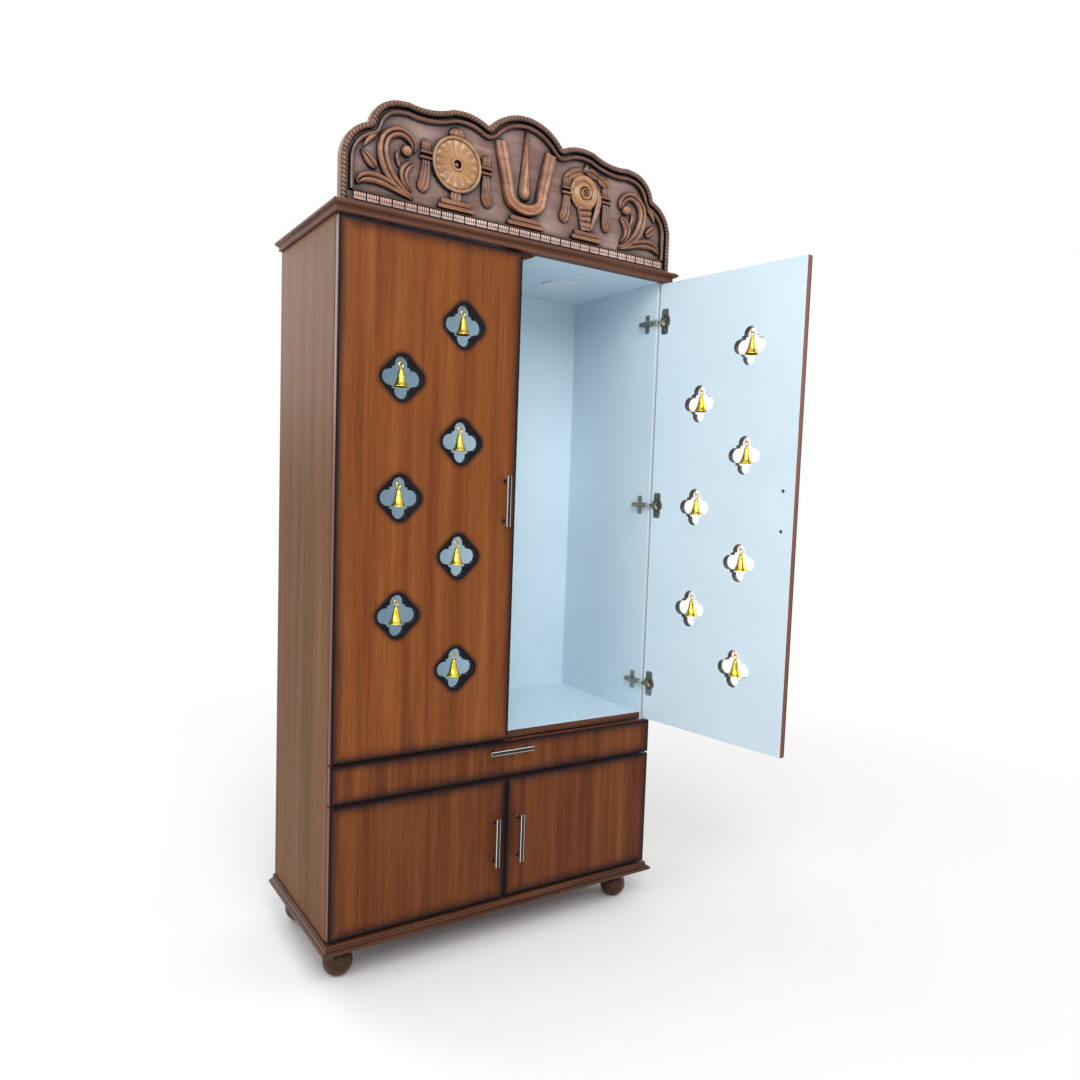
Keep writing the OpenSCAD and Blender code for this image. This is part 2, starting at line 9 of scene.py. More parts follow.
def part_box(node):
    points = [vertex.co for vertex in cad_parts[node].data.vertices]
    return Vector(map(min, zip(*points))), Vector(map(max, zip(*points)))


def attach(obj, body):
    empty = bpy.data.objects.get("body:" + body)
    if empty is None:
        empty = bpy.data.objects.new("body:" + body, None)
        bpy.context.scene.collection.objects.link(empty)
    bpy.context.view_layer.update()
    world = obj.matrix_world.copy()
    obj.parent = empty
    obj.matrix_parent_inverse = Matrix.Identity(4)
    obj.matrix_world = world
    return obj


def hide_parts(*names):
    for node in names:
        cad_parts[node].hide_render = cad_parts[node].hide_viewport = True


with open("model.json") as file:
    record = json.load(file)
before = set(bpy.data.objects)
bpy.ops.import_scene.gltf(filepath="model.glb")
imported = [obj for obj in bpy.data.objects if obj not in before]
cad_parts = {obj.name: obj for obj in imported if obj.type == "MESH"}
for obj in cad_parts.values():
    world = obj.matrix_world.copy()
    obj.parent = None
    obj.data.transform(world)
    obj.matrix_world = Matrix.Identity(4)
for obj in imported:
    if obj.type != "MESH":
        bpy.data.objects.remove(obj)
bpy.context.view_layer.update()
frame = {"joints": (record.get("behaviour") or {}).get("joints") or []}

# A pooja mandir cabinet: stained teak veneer with burnt edges, a carved and
# glazed crest, white laminate inside, brass bells and steel fittings. Pieces
# are drawn in millimetres about the middle of the cabinet, doors closed, and
# then brought into the frame.

MM = 0.001  # metres
MIDDLE = (Vector(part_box("left_side_panel")[0]) + Vector(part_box("right_side_panel")[1])) / 2
MIDDLE.z = 0
TO_FRAME = Matrix.Translation(MIDDLE) @ Matrix.Scale(MM, 4)
MIRROR = Matrix.Scale(-1, 4, Vector((1, 0, 0)))


# Sizes read from the frame, in millimetres

def in_mm(point):
    return (Vector(point) - MIDDLE) / MM


def corners(node):
    lo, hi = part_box(node)
    return in_mm(lo), in_mm(hi)


def mirrored_corners(node):
    """Corners that a left-hand node has on the right-hand side."""
    lo, hi = corners(node)
    return Vector((-hi.x, lo.y, lo.z)), Vector((-lo.x, hi.y, hi.z))


WALL_X, FRONT_Y = corners("right_side_panel")[0].xy
TALL_LO, TALL_HI = mirrored_corners("left_tall_door")
LOWER_LO, LOWER_HI = mirrored_corners("lower_left_door")
DOOR_Y, DOOR_IN_Y = TALL_LO.y, TALL_HI.y
TALL_MID = (TALL_LO.z + TALL_HI.z) / 2
BELL_Y = (DOOR_Y + DOOR_IN_Y) / 2
CREST_LO, CREST_HI = corners("crest_board")
CREST_Z, CREST_HALF = CREST_LO.z, CREST_HI.x
FIELD_DEPTH = 4
FIELD_Y = CREST_LO.y + FIELD_DEPTH
RELIEF = FIELD_Y - corners("crest_rim")[0].y
JOINTS = {joint["name"]: joint for joint in frame["joints"]}
AXIS = in_mm(JOINTS["door_tall_right"]["pos_m"])
OPEN_ANGLE = math.radians(-JOINTS["door_tall_right"]["range_deg"][0])
SWUNG = Matrix.Translation(AXIS) @ Matrix.Rotation(OPEN_ANGLE, 4, "Z") @ Matrix.Translation(-AXIS)
BELLS = 7
HOOKS = [in_mm(JOINTS[f"swing_left_bell_{k + 1}"]["pos_m"]) for k in range(BELLS)]
BELL_NEAR, BELL_FAR = -HOOKS[0].x, -HOOKS[1].x
BELL_PITCH = HOOKS[0].z - HOOKS[1].z
# An opening is four lobes, each LOBE_OFF off its middle, and a square of half side LOBE_SQUARE
LOBE_R, LOBE_OFF, LOBE_SQUARE = 18, 29, 24.5
OPENING_ZS = [TALL_MID + ((BELLS - 1) / 2 - k) * BELL_PITCH for k in range(BELLS)]


# Camera, matched to the photograph

CAMERA_PLACE = (-1065.5, -2009.0, 1136.3)
CAMERA_YAW, CAMERA_PITCH, CAMERA_ROLL = (math.radians(a) for a in (34.014, -4.442, 2.11))
FOCAL_PX, FRAME_PX, SENSOR_MM = 856.5, 1080, 36
CENTRE_PX = (562.9, 558.4)


def make_camera():
    data = bpy.data.cameras.new("photo_camera")
    data.sensor_width = SENSOR_MM
    data.lens = FOCAL_PX / FRAME_PX * SENSOR_MM
    data.shift_x = (FRAME_PX / 2 - CENTRE_PX[0]) / FRAME_PX
    data.shift_y = (CENTRE_PX[1] - FRAME_PX / 2) / FRAME_PX
    data.clip_end = 60
    camera = bpy.data.objects.new("photo_camera", data)
    bpy.context.scene.collection.objects.link(camera)
    ahead = Vector((math.sin(CAMERA_YAW) * math.cos(CAMERA_PITCH),
                    math.cos(CAMERA_YAW) * math.cos(CAMERA_PITCH),
                    math.sin(CAMERA_PITCH)))
    level = Vector((math.cos(CAMERA_YAW), -math.sin(CAMERA_YAW), 0))
    above = level.cross(ahead)
    right = math.cos(CAMERA_ROLL) * level + math.sin(CAMERA_ROLL) * above
    up = -math.sin(CAMERA_ROLL) * level + math.cos(CAMERA_ROLL) * above
    turn = Matrix((right, up, -ahead)).transposed().to_4x4()
    camera.matrix_world = Matrix.Translation(TO_FRAME @ Vector(CAMERA_PLACE)) @ turn
    bpy.context.scene.camera = camera


# Colours and shader nodes

def linear(hex_colour):
    """An sRGB hex value as the linear colour that shaders take."""
    parts = [int(hex_colour[i:i + 2], 16) / 255 for i in (1, 3, 5)]
    return tuple(v / 12.92 if v <= 0.04045 else ((v + 0.055) / 1.055) ** 2.4 for v in parts) + (1,)


def add(tree, kind, *values, out=0, stops=(), **settings):
    """Adds a shader node, such as "Math SUBTRACT", and returns its output out, or a list for more.
    values fill its sockets in order, or by name or number from a dict. settings are its properties,
    and stops the (place, hex colour) pairs of a colour ramp."""
    kind, _, operation = kind.partition(" ")
    made = tree.nodes.new("ShaderNode" + kind)
    if operation:
        made.operation = operation
    for name, value in settings.items():
        setattr(made, name, value)
    if stops:
        elements = made.color_ramp.elements
        while len(elements) < len(stops):
            elements.new(0.5)
        for element, (place, colour) in zip(elements, stops):
            element.position, element.color = place, linear(colour)
    links = values[0] if values and isinstance(values[0], dict) else dict(enumerate(values))
    for socket, value in links.items():
        if isinstance(value, bpy.types.NodeSocket):
            tree.links.new(value, made.inputs[socket])
        else:
            made.inputs[socket].default_value = value
    return [made.outputs[one] for one in out] if isinstance(out, tuple) else made.outputs[out]


# A Mix node that mixes colours takes its share in socket 0 and the colours in 6 and 7
RGBA = {"out": 2, "data_type": "RGBA"}


def new_material(name):
    made = bpy.data.materials.new(name)
    made.use_nodes = True
    return made, made.node_tree, made.node_tree.nodes["Principled BSDF"]


def link(tree, value, shader, socket):
    tree.links.new(value, shader.inputs[socket])


def noise(tree, place, per_metre, detail=3.0, roughness=0.55, distortion=0.0):
    """Noise with its own number of waves per metre along X, Y and Z."""
    scaled = add(tree, "Mapping", {"Vector": place, "Scale": per_metre})
    links = {"Vector": scaled, "Scale": 1.0, "Detail": detail, "Roughness": roughness,
             "Distortion": distortion}
    return add(tree, "TexNoise", links, out="Fac")


# Tones of the wood, as places along its figure and their colours

TALL_TONES = [(0.30, "#562a12"), (0.44, "#6f3b1a"), (0.56, "#7f4720"), (0.70, "#92572b")]
# The next tones are the tall doors' veneer painted darker: painted shade over the lower doors and the
# drawer, which take less light.
SHADED_LOWER_TONES = [(0.30, "#46200c"), (0.44, "#5f3015"), (0.56, "#6f3c1b"), (0.70, "#824b25")]
SIDE_TONES = [(0.30, "#4f3019"), (0.45, "#6a4427"), (0.58, "#775031"), (0.72, "#875f3d")]
CORNICE_TONES = [(0.30, "#442a1e"), (0.46, "#5f3d2e"), (0.58, "#704b3a"), (0.72, "#845d4a")]
TRIM_TONES = [(0.30, "#321c10"), (0.46, "#4a2b1a"), (0.58, "#593723"), (0.72, "#6d4730")]
FOOT_TONES = [(0.30, "#2c180d"), (0.50, "#42281a"), (0.72, "#5b3b28")]
FIELD_TONES = [(0.30, "#563c34"), (0.46, "#6d4f46"), (0.58, "#7e5f55"), (0.72, "#967a70")]
CARVED_TONES = [(0.30, "#5c3826"), (0.46, "#784c34"), (0.58, "#8c5c40"), (0.72, "#a77453")]
RIM_TONES = [(0.30, "#42281c"), (0.46, "#5a3828"), (0.58, "#6c4532"), (0.72, "#855a43")]
WHEEL_TONES = [(0.30, "#7b5332"), (0.46, "#936842"), (0.58, "#a4784f"), (0.72, "#ba8e63")]
RAW_TONES = [(0.3, "#7a5844"), (0.5, "#94705a"), (0.7, "#a9836a")]
BEAD_TONES = [(0.3, "#ad8276"), (0.5, "#cba89c"), (0.7, "#dfc6bc")]
BURNT = "#0d0a11"
# Copper of the highest carving: worn back glaze with a painted highlight in it.
COPPER_HIGHLIGHT = "#cf9468"


# Materials

def grain_colour(tree, tones, streak_mm=42, length=30):
    """Sliced teak: streaks about streak_mm wide that run length times as far along the grain, fine
    lines of 6 mm between them and 1 mm pores. Returns the colour and the pores."""
    grain = add(tree, "Attribute", out="Vector", attribute_name="grain")
    per = 1000 / streak_mm
    streaks = noise(tree, grain, (per, per, per / length), detail=4.0, roughness=0.6, distortion=0.5)
    lines = noise(tree, grain, (160, 160, 3.0), detail=4.0, roughness=0.72)
    pores = noise(tree, grain, (950, 950, 16), detail=2.0)
    figure = add(tree, "Math ADD", add(tree, "Math MULTIPLY", streaks, 0.66),
                 add(tree, "Math MULTIPLY", lines, 0.36))
    shade = add(tree, "MapRange", pores, 0.30, 0.60, 0.82, 1.0)
    grey = add(tree, "CombineColor", shade, shade, shade)
    wood = add(tree, "ValToRGB", figure, stops=tones)
    return add(tree, "Mix", {0: 1.0, 6: wood, 7: grey}, **RGBA, blend_type="MULTIPLY"), pores


def lacquer(tree, shader, pores, roughness, coat=0.0, gloss=0.25):
    """Sprayed satin lacquer: a soft gloss with the pores just felt under it."""
    satin = add(tree, "MapRange", pores, 0.2, 0.8, roughness - 0.04, roughness + 0.07)
    link(tree, satin, shader, "Roughness")
    felt = add(tree, "Bump", {"Strength": 0.14, "Distance": 0.35 * MM, "Height": pores})
    link(tree, felt, shader, "Normal")
    shader.inputs["Specular IOR Level"].default_value = gloss
    shader.inputs["Coat Weight"].default_value = coat
    shader.inputs["Coat Roughness"].default_value = 0.16


def lobed_distance(tree, x, z, column, phase):
    """Distance in metres outside the openings of one column, which repeat along Z, each taken as the
    rounded square that a line drawn round its four lobes would make."""
    pitch, lobe = BELL_PITCH * MM, LOBE_OFF * MM
    across = add(tree, "Math ABSOLUTE", add(tree, "Math SUBTRACT", x, column * MM))
    rise = add(tree, "Math SUBTRACT", z, TALL_MID * MM)
    last = (BELLS // 2 + 1 - phase) * pitch
    past_ends = add(tree, "Math SUBTRACT", add(tree, "Math ABSOLUTE", rise), last)
    turned = add(tree, "Math FLOORED_MODULO", add(tree, "Math ADD", rise, phase * pitch), 2 * pitch)
    along = add(tree, "Math ABSOLUTE", add(tree, "Math SUBTRACT", turned, pitch))
    lean = add(tree, "Math SUBTRACT", along, across)
    upright = add(tree, "MapRange", lean, -lobe, lobe, 0.0, 1.0)
    level = add(tree, "Math SUBTRACT", 1.0, upright)
    from_x = add(tree, "Math SUBTRACT", across, add(tree, "Math MULTIPLY", level, lobe))
    from_z = add(tree, "Math SUBTRACT", along, add(tree, "Math MULTIPLY", upright, lobe))
    squares = add(tree, "Math ADD", add(tree, "Math MULTIPLY", from_x, from_x),
                  add(tree, "Math MULTIPLY", from_z, from_z))
    reach = add(tree, "Math SUBTRACT", add(tree, "Math SQRT", squares), LOBE_R * MM)
    return add(tree, "Math MAXIMUM", reach, past_ends)


def fading(tree, distance, full, soft, power):
    """1 up to the distance full, then fading to 0 over soft, in metres."""
    gone = add(tree, "Math DIVIDE", add(tree, "Math SUBTRACT", distance, full), soft)
    return add(tree, "Math POWER", add(tree, "Math SUBTRACT", 1.0, gone, use_clamp=True), power)


def burnt_share(tree, holed):
    """1 where the spray gun blackened the board along its edges and round its openings, 0 well inside."""
    place = add(tree, "Attribute", out="Vector", attribute_name="place")
    cloud = noise(tree, place, (7, 7, 5))
    edge = 1.0
    for name in ("side_distance", "end_distance"):
        stored = add(tree, "Attribute", out="Vector", attribute_name=name)
        for distance in add(tree, "SeparateXYZ", stored, out=(0, 1)):
            edge = add(tree, "Math MINIMUM", edge, distance)
    uneven = add(tree, "MapRange", cloud, 0.25, 0.75, 0.016, 0.046)
    share = fading(tree, edge, full=0.003, soft=uneven, power=2.0)
    if holed:
        x, z = add(tree, "SeparateXYZ", place, out=(0, 2))
        near = add(tree, "Math MINIMUM", lobed_distance(tree, x, z, BELL_NEAR, 0),
                   lobed_distance(tree, x, z, BELL_FAR, 1))
        halo = fading(tree, near, full=0.0055, soft=0.014, power=1.8)
        share = add(tree, "Math MAXIMUM", share, halo)
    return share


def door_veneer(name, tones, holed):
    """Teak veneer stained orange-brown. Its edges are sprayed almost black, then lacquered."""
    made, tree, shader = new_material(name)
    colour, pores = grain_colour(tree, tones)
    sprayed = add(tree, "Mix", {0: burnt_share(tree, holed), 6: colour, 7: linear(BURNT)}, **RGBA)
    link(tree, sprayed, shader, "Base Color")
    lacquer(tree, shader, pores, roughness=0.38, gloss=0.13)
    return made


def edge_band(name):
    """The veneered edge of a door: red-brown, with the black spray reaching round from its front."""
    made, tree, shader = new_material(name)
    colour, pores = grain_colour(tree, RAW_TONES, streak_mm=12)
    stained = add(tree, "Mix", {0: 1.0, 6: colour, 7: linear("#cf9484")}, **RGBA, blend_type="MULTIPLY")
    place = add(tree, "Attribute", out="Vector", attribute_name="place")
    depth = add(tree, "Math SUBTRACT", add(tree, "SeparateXYZ", place, out=1), DOOR_Y * MM)
    share = fading(tree, depth, full=0.002, soft=0.006, power=1.4)
    sprayed = add(tree, "Mix", {0: share, 6: stained, 7: linear(BURNT)}, **RGBA)
    link(tree, sprayed, shader, "Base Color")
    lacquer(tree, shader, pores, roughness=0.4)
    return made


def plain_teak(name, tones, roughness, streak_mm=42, coat=0.0, gloss=0.25):
    """Stained teak without burnt edges, open-pored under a thin lacquer."""
    made, tree, shader = new_material(name)
    colour, pores = grain_colour(tree, tones, streak_mm)
    link(tree, colour, shader, "Base Color")
    lacquer(tree, shader, pores, roughness, coat, gloss)
    return made


def glazed_teak(name, tones, dark, painted_sheen_tone, streak_mm=20, coat=0.2, foot=True, wear_and_highlight=0.7):
    """Carved teak under an antique glaze, with painted shade: near black in the hollows, found by ambient
    occlusion, and, with foot, round the foot of the carving, partly glaze gathered there and partly painted
    shade; brown over the flats with pale clouds of painted sheen; and, where it stands highest, worn back
    to copper with a painted highlight in it, by the share given last."""
    made, tree, shader = new_material(name)
    colour, pores = grain_colour(tree, tones, streak_mm, length=10)
    place = add(tree, "Attribute", out="Vector", attribute_name="place")
    smear = noise(tree, place, (70, 70, 70))
    # Pale clouds of the sheen colour given: painted sheen, standing for light reflected in the glaze.
    cloud = noise(tree, place, (9, 9, 14), detail=2.0)
    painted_sheen_share = add(tree, "MapRange", cloud, 0.45, 0.75, 0.0, 0.45)
    colour = add(tree, "Mix", {0: painted_sheen_share, 6: colour, 7: linear(painted_sheen_tone)}, **RGBA)
    # Where the carving stands highest it turns bright copper: partly glaze worn back, partly a painted
    # highlight.
    high = add(tree, "Math SUBTRACT", FIELD_Y * MM, add(tree, "SeparateXYZ", place, out=1))
    wear_and_highlight_share = add(tree, "Math MULTIPLY", add(tree, "MapRange", high, 0.010, 0.016, 0.0, 1.0),
                 add(tree, "MapRange", smear, 0.35, 0.65, wear_and_highlight / 7, wear_and_highlight))
    colour = add(tree, "Mix", {0: wear_and_highlight_share, 6: colour, 7: linear(COPPER_HIGHLIGHT)}, **RGBA)
    # Ambient occlusion darkens the hollows and the field round the carving to near black: partly glaze,
    # partly painted shade.
    open_sky = add(tree, "AmbientOcclusion", {"Distance": 0.024}, out="AO", samples=12)
    smeared_openness = add(tree, "Math ADD", open_sky, add(tree, "MapRange", smear, 0.3, 0.7, -0.05, 0.05))
    free_of_glaze_and_shade = add(tree, "MapRange", smeared_openness, 0.60, 0.93, 0.0, 1.0)
    # With foot, the low sides of the carving next to the field are darkened too: glaze gathered there and
    # painted shade in the crease.
    if foot:
        free_of_glaze_and_shade = add(tree, "Math MINIMUM", free_of_glaze_and_shade, add(tree, "MapRange", high, 0.0015, 0.0065, 0.0, 1.0))
    glazed = add(tree, "Mix", {0: free_of_glaze_and_shade, 6: linear(dark), 7: colour}, **RGBA)
    link(tree, glazed, shader, "Base Color")
    lacquer(tree, shader, pores, roughness=0.3, coat=coat, gloss=0.4)
    return made


def burnt_paint():
    """Dull near-black paint on cut edges, with a little of the brush left in it."""
    made, tree, shader = new_material("burnt_black_edge_paint")
    place = add(tree, "Attribute", out="Vector", attribute_name="place")
    brush = noise(tree, place, (160, 160, 160))
    paint = add(tree, "ValToRGB", brush, stops=[(0.3, "#100c0c"), (0.7, "#251c1a")])
    link(tree, paint, shader, "Base Color")
    marks = add(tree, "Bump", {"Strength": 0.25, "Distance": 0.4 * MM, "Height": brush})
    link(tree, marks, shader, "Normal")
    shader.inputs["Roughness"].default_value = 0.42
    return made


def laminate(name, low_tone, high_tone):
    """Melamine laminate: cool white, evenly coloured, with a faint pressed pebble of about 1 mm."""
    made, tree, shader = new_material(name)
    place = add(tree, "Attribute", out="Vector", attribute_name="place")
    cloud = noise(tree, place, (2.2, 2.2, 2.2))
    pebble = noise(tree, place, (800, 800, 800), detail=1.0)
    white = add(tree, "ValToRGB", cloud, stops=[(0.3, low_tone), (0.7, high_tone)])
    link(tree, white, shader, "Base Color")
    link(tree, add(tree, "MapRange", pebble, 0.3, 0.7, 0.34, 0.46), shader, "Roughness")
    pressed = add(tree, "Bump", {"Strength": 0.12, "Distance": 0.2 * MM, "Height": pebble})
    link(tree, pressed, shader, "Normal")
    return made


def metal(name, tones, roughness, per_metre):
    """Bare or plated metal, its tone and gloss broken up by the marks of brush and polish."""
    made, tree, shader = new_material(name)
    place = add(tree, "Attribute", out="Vector", attribute_name="place")
    marks = noise(tree, place, per_metre, detail=2.0)
    tone = add(tree, "ValToRGB", marks, stops=[(0.3, tones[0]), (0.7, tones[1])])
    link(tree, tone, shader, "Base Color")
    gloss = add(tree, "MapRange", marks, 0.3, 0.7, roughness * 0.75, roughness * 1.3)
    link(tree, gloss, shader, "Roughness")
    scratched = add(tree, "Bump", {"Strength": 0.1, "Distance": 0.05 * MM, "Height": marks})
    link(tree, scratched, shader, "Normal")
    shader.inputs["Metallic"].default_value = 1.0
    return made


# Marks per metre: a cast or pressed metal's run no way, a drawn or brushed one's run lengthwise
CAST, PRESSED = (900, 900, 900), (500, 500, 500)
DRAWN, BRUSHED = (900, 900, 200), (1400, 1400, 30)

# The lower doors and the drawer get the same veneer as the tall doors, painted darker as painted shade.
VENEER = door_veneer("burnt_edge_teak_veneer", SHADED_LOWER_TONES, holed=False)
HOLED_VENEER = door_veneer("burnt_edge_teak_veneer_with_openings", TALL_TONES, holed=True)
EDGE_BAND = edge_band("burnt_teak_edge_band")
SIDE_TEAK = plain_teak("side_teak_veneer", SIDE_TONES, 0.48, gloss=0.08)
CORNICE_TEAK = plain_teak("stained_teak_cornice", CORNICE_TONES, 0.42, 16, gloss=0.13)
TRIM_TEAK = plain_teak("stained_teak_moulding", TRIM_TONES, 0.34, 16, coat=0.05, gloss=0.2)
TURNED_TEAK = plain_teak("turned_teak_foot", FOOT_TONES, 0.28, 12, coat=0.05, gloss=0.2)
RAW_TEAK = plain_teak("sawn_teak_edge", RAW_TONES, 0.6, 14)
BACK_TEAK = plain_teak("plain_back_veneer", SIDE_TONES, 0.5, 60)
# Each glazed wood: its tones, the near black of glaze and painted shade in its hollows, then the pale colour
# of its painted sheen.
FIELD = glazed_teak("glazed_teak_field", FIELD_TONES, "#100c14", "#b09a96", 36, coat=0.3, foot=False)
CARVED = glazed_teak("glazed_carved_teak", CARVED_TONES, "#0f0a0f", "#a06a4c")
GILDED = glazed_teak("glazed_teak_rubbed_golden", WHEEL_TONES, "#0f0a0f", "#c49664")
RIM = glazed_teak("glazed_teak_rim", RIM_TONES, "#0c080c", "#7c5240", wear_and_highlight=0.28)
BEADS = glazed_teak("wiped_bead_border", BEAD_TONES, "#191218", "#ece0da")
PAINT = burnt_paint()
LAMINATE = laminate("white_laminate", "#c9dde8", "#d2e5ef")
OPAL = laminate("opal_light_cover", "#d3e0e6", "#dbe7ec")
BRASS = metal("polished_cast_brass", ("#d2a61f", "#f4da60"), 0.12, CAST)
DARK_BRASS = metal("unpolished_brass_inside", ("#4a3510", "#6e5420"), 0.4, CAST)
BRASS_WIRE = metal("drawn_brass_wire", ("#b98a2c", "#d8ac4c"), 0.24, DRAWN)
NICKEL = metal("nickel_plated_hinge_steel", ("#8a8478", "#b3ada0"), 0.3, PRESSED)
ZINC = metal("bright_zinc_link", ("#cfd3c8", "#eceee4"), 0.28, PRESSED)
DARK_SCREW = metal("dark_plated_screw", ("#4b4743", "#6d6862"), 0.35, CAST)
SATIN_STEEL = metal("satin_stainless_handle", ("#c4c4c2", "#e2e2e0"), 0.16, BRUSHED)
INLAY = metal("dark_brushed_inlay", ("#2a2725", "#474340"), 0.3, BRUSHED)


# Making pieces

# The coordinates that become X, Y and Z of a piece's figure, whose Z runs along the grain
GRAIN_ORDER = {"x": (2, 1, 0), "y": (0, 2, 1), "z": (0, 1, 2)}


def store(mesh, name, vectors):
    layer = mesh.attributes.new(name, "FLOAT_VECTOR", "POINT")
    layer.data.foreach_set("vector", [value for vector in vectors for value in vector])


def make_piece(bm, name, body, nodes=(), materials=(), turn=None, grain="z", smooth=35, lot=0.0):
    """Makes a piece from a mesh in millimetres. grain is the way its wood runs and lot shifts its
    figure, so that no two boards are alike."""
    mesh = bpy.data.meshes.new(name)
    bm.to_mesh(mesh)
    bm.free()
    for material in materials:
        mesh.materials.append(material)
    points = [vertex.co * MM for vertex in mesh.vertices]
    order = GRAIN_ORDER[grain]
    store(mesh, "place", points)
    store(mesh, "grain", [(p[order[0]] + lot, p[order[1]], p[order[2]] + lot * 3) for p in points])
    if VENEER in materials or HOLED_VENEER in materials:
        xs, zs = [p.x for p in points], [p.z for p in points]
        store(mesh, "side_distance", [(p.x - min(xs), max(xs) - p.x, 0) for p in points])
        store(mesh, "end_distance", [(p.z - min(zs), max(zs) - p.z, 0) for p in points])
    square_on = 0.9999
    rounded = [max(abs(part) for part in face.normal) < square_on for face in mesh.polygons]
    move = TO_FRAME @ (turn or Matrix())
    mesh.transform(move)
    if move.determinant() < 0:
        mesh.flip_normals()
    mesh.set_sharp_from_angle(angle=math.radians(smooth))
    mesh.polygons.foreach_set("use_smooth", rounded)
    piece = bpy.data.objects.new(name, mesh)
    bpy.context.scene.collection.objects.link(piece)
    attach(piece, body)
    if nodes:
        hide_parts(*nodes)
    return piece


NEARLY_FLAT = 0.8


def paint_faces(faces, chosen):
    """Gives faces a material number by the way they look, such as {"-y": 1}, or "edge" or "all"."""
    for face in faces:
        face.normal_update()
        axis = max(range(3), key=lambda k: abs(face.normal[k]))
        way = ("+" if face.normal[axis] > 0 else "-") + "xyz"[axis]
        flat = abs(face.normal[axis]) > NEARLY_FLAT
        face.material_index = chosen.get(way if flat else "edge", chosen.get("all", 0))


def slab(bm, lo, hi, chosen=None, ease=0.7):
    """A board with eased edges, its faces painted as chosen says."""
    made = bmesh.ops.create_cube(bm, size=1)["verts"]
    for vert in made:
        vert.co = Vector((lo[k] + hi[k]) / 2 + vert.co[k] * (hi[k] - lo[k]) for k in range(3))
    edges = list(dict.fromkeys(edge for vert in made for edge in vert.link_edges))
    made = bmesh.ops.bevel(bm, geom=edges, offset=ease, segments=2, profile=0.5, affect="EDGES",
                           clamp_overlap=True)["verts"]
    paint_faces({face for vert in made for face in vert.link_faces}, chosen or {})


WELD = 0.01


def cut_shape(loops, front, back, ease, segments):
    """A board with eased edges, cut to flat outlines in X and Z. A loop inside another is a hole."""
    curve = bpy.data.curves.new("outline", "CURVE")
    curve.dimensions = "2D"
    curve.fill_mode = "BOTH"
    curve.extrude = (back - front) / 2 - ease
    curve.bevel_depth = ease
    curve.bevel_resolution = segments - 1
    curve.offset = -ease
    for loop in loops:
        spline = curve.splines.new("POLY")
        spline.points.add(len(loop) - 1)
        spline.points.foreach_set("co", [value for x, z in loop for value in (x, z, 0, 1)])
        spline.use_cyclic_u = True
    holder = bpy.data.objects.new("outline", curve)
    bm = bmesh.new()
    bm.from_mesh(holder.to_mesh())
    holder.to_mesh_clear()
    bpy.data.objects.remove(holder)
    bpy.data.curves.remove(curve)
    bmesh.ops.remove_doubles(bm, verts=bm.verts, dist=WELD)
    upright = Matrix.Translation((0, (front + back) / 2, 0)) @ Matrix.Rotation(math.pi / 2, 4, "X")
    bmesh.ops.transform(bm, verts=bm.verts, matrix=upright)
    return bm


def sheet(loops, front, back, ease=0.8, segments=2, bores=()):
    """A board cut to flat outlines. bores are holes in its back face only."""
    bm = cut_shape(loops, front, back, ease, segments)
    if bores:
        bored = cut_shape(loops + bores, front, back, ease, segments)
        for shape, keep_back in ((bm, False), (bored, True)):
            drop = [face for face in shape.faces
                    if all(vert.co.y > back - WELD for vert in face.verts) != keep_back]
            bmesh.ops.delete(shape, geom=drop, context="FACES")
        mesh = bpy.data.meshes.new("bored_face")
        bored.to_mesh(mesh)
        bored.free()
        bm.from_mesh(mesh)
        bpy.data.meshes.remove(mesh)
        bmesh.ops.remove_doubles(bm, verts=bm.verts, dist=WELD)
    bmesh.ops.recalc_face_normals(bm, faces=bm.faces)
    return bm


def loft(bm, rings, closed=True, material=0):
    """Quads between rings of points. closed joins the last point of each ring to its first."""
    rows = [[bm.verts.new(point) for point in ring] for ring in rings]
    count = len(rows[0])
    for row, after in zip(rows, rows[1:]):
        for k in range(count if closed else count - 1):
            far = (k + 1) % count
            bm.faces.new((row[k], row[far], after[far], after[k])).material_index = material
    return rows


def circle(centre, radius, count=40):
    turns = [2 * math.pi * k / count for k in range(count)]
    return [(centre[0] + radius * math.cos(a), centre[1] + radius * math.sin(a)) for a in turns]


def revolve(bm, profile, place, way=(0, 0, 1), count=40, material=0):
    """Turns (radius, height) points about an axis through place. Ends on the axis are closed."""
    turn = Vector((0, 0, 1)).rotation_difference(Vector(way)).to_matrix()
    rings = []
    for radius, height in profile:
        around = circle((0, 0), radius, count)
        rings.append([turn @ Vector((x, y, height)) + Vector(place) for x, y in around])
    rows = loft(bm, rings, material=material)
    for row, (radius, height) in ((rows[0], profile[0]), (rows[-1], profile[-1])):
        if radius < 0.1:
            bm.faces.new(row).material_index = material


def tube(bm, path, radius, side=(1, 0, 0), sides=10, material=0):
    """A round wire along points in space, with side a direction that it never takes."""
    rings = []
    for k, point in enumerate(path):
        along = (Vector(path[min(k + 1, len(path) - 1)]) - Vector(path[max(k - 1, 0)])).normalized()
        other = along.cross(Vector(side)).normalized()
        across = other.cross(along)
        rings.append([Vector(point) + x * across + y * other for x, y in circle((0, 0), radius, sides)])
    rows = loft(bm, rings, material=material)
    for row in (rows[0], rows[-1]):
        bm.faces.new(row).material_index = material


def closed_up(bm):
    """Turns all faces outwards."""
    bmesh.ops.recalc_face_normals(bm, faces=bm.faces)
    return bm


def screw_head(bm, place, way, radius=3.4, material=0):
    """A pan head with a dished recess."""
    profile = [(radius, 0), (radius, 0.25), (radius * 0.8, 0.6), (radius * 0.34, 0.62), (0.01, 0.05)]
    revolve(bm, profile, place, way, 20, material)


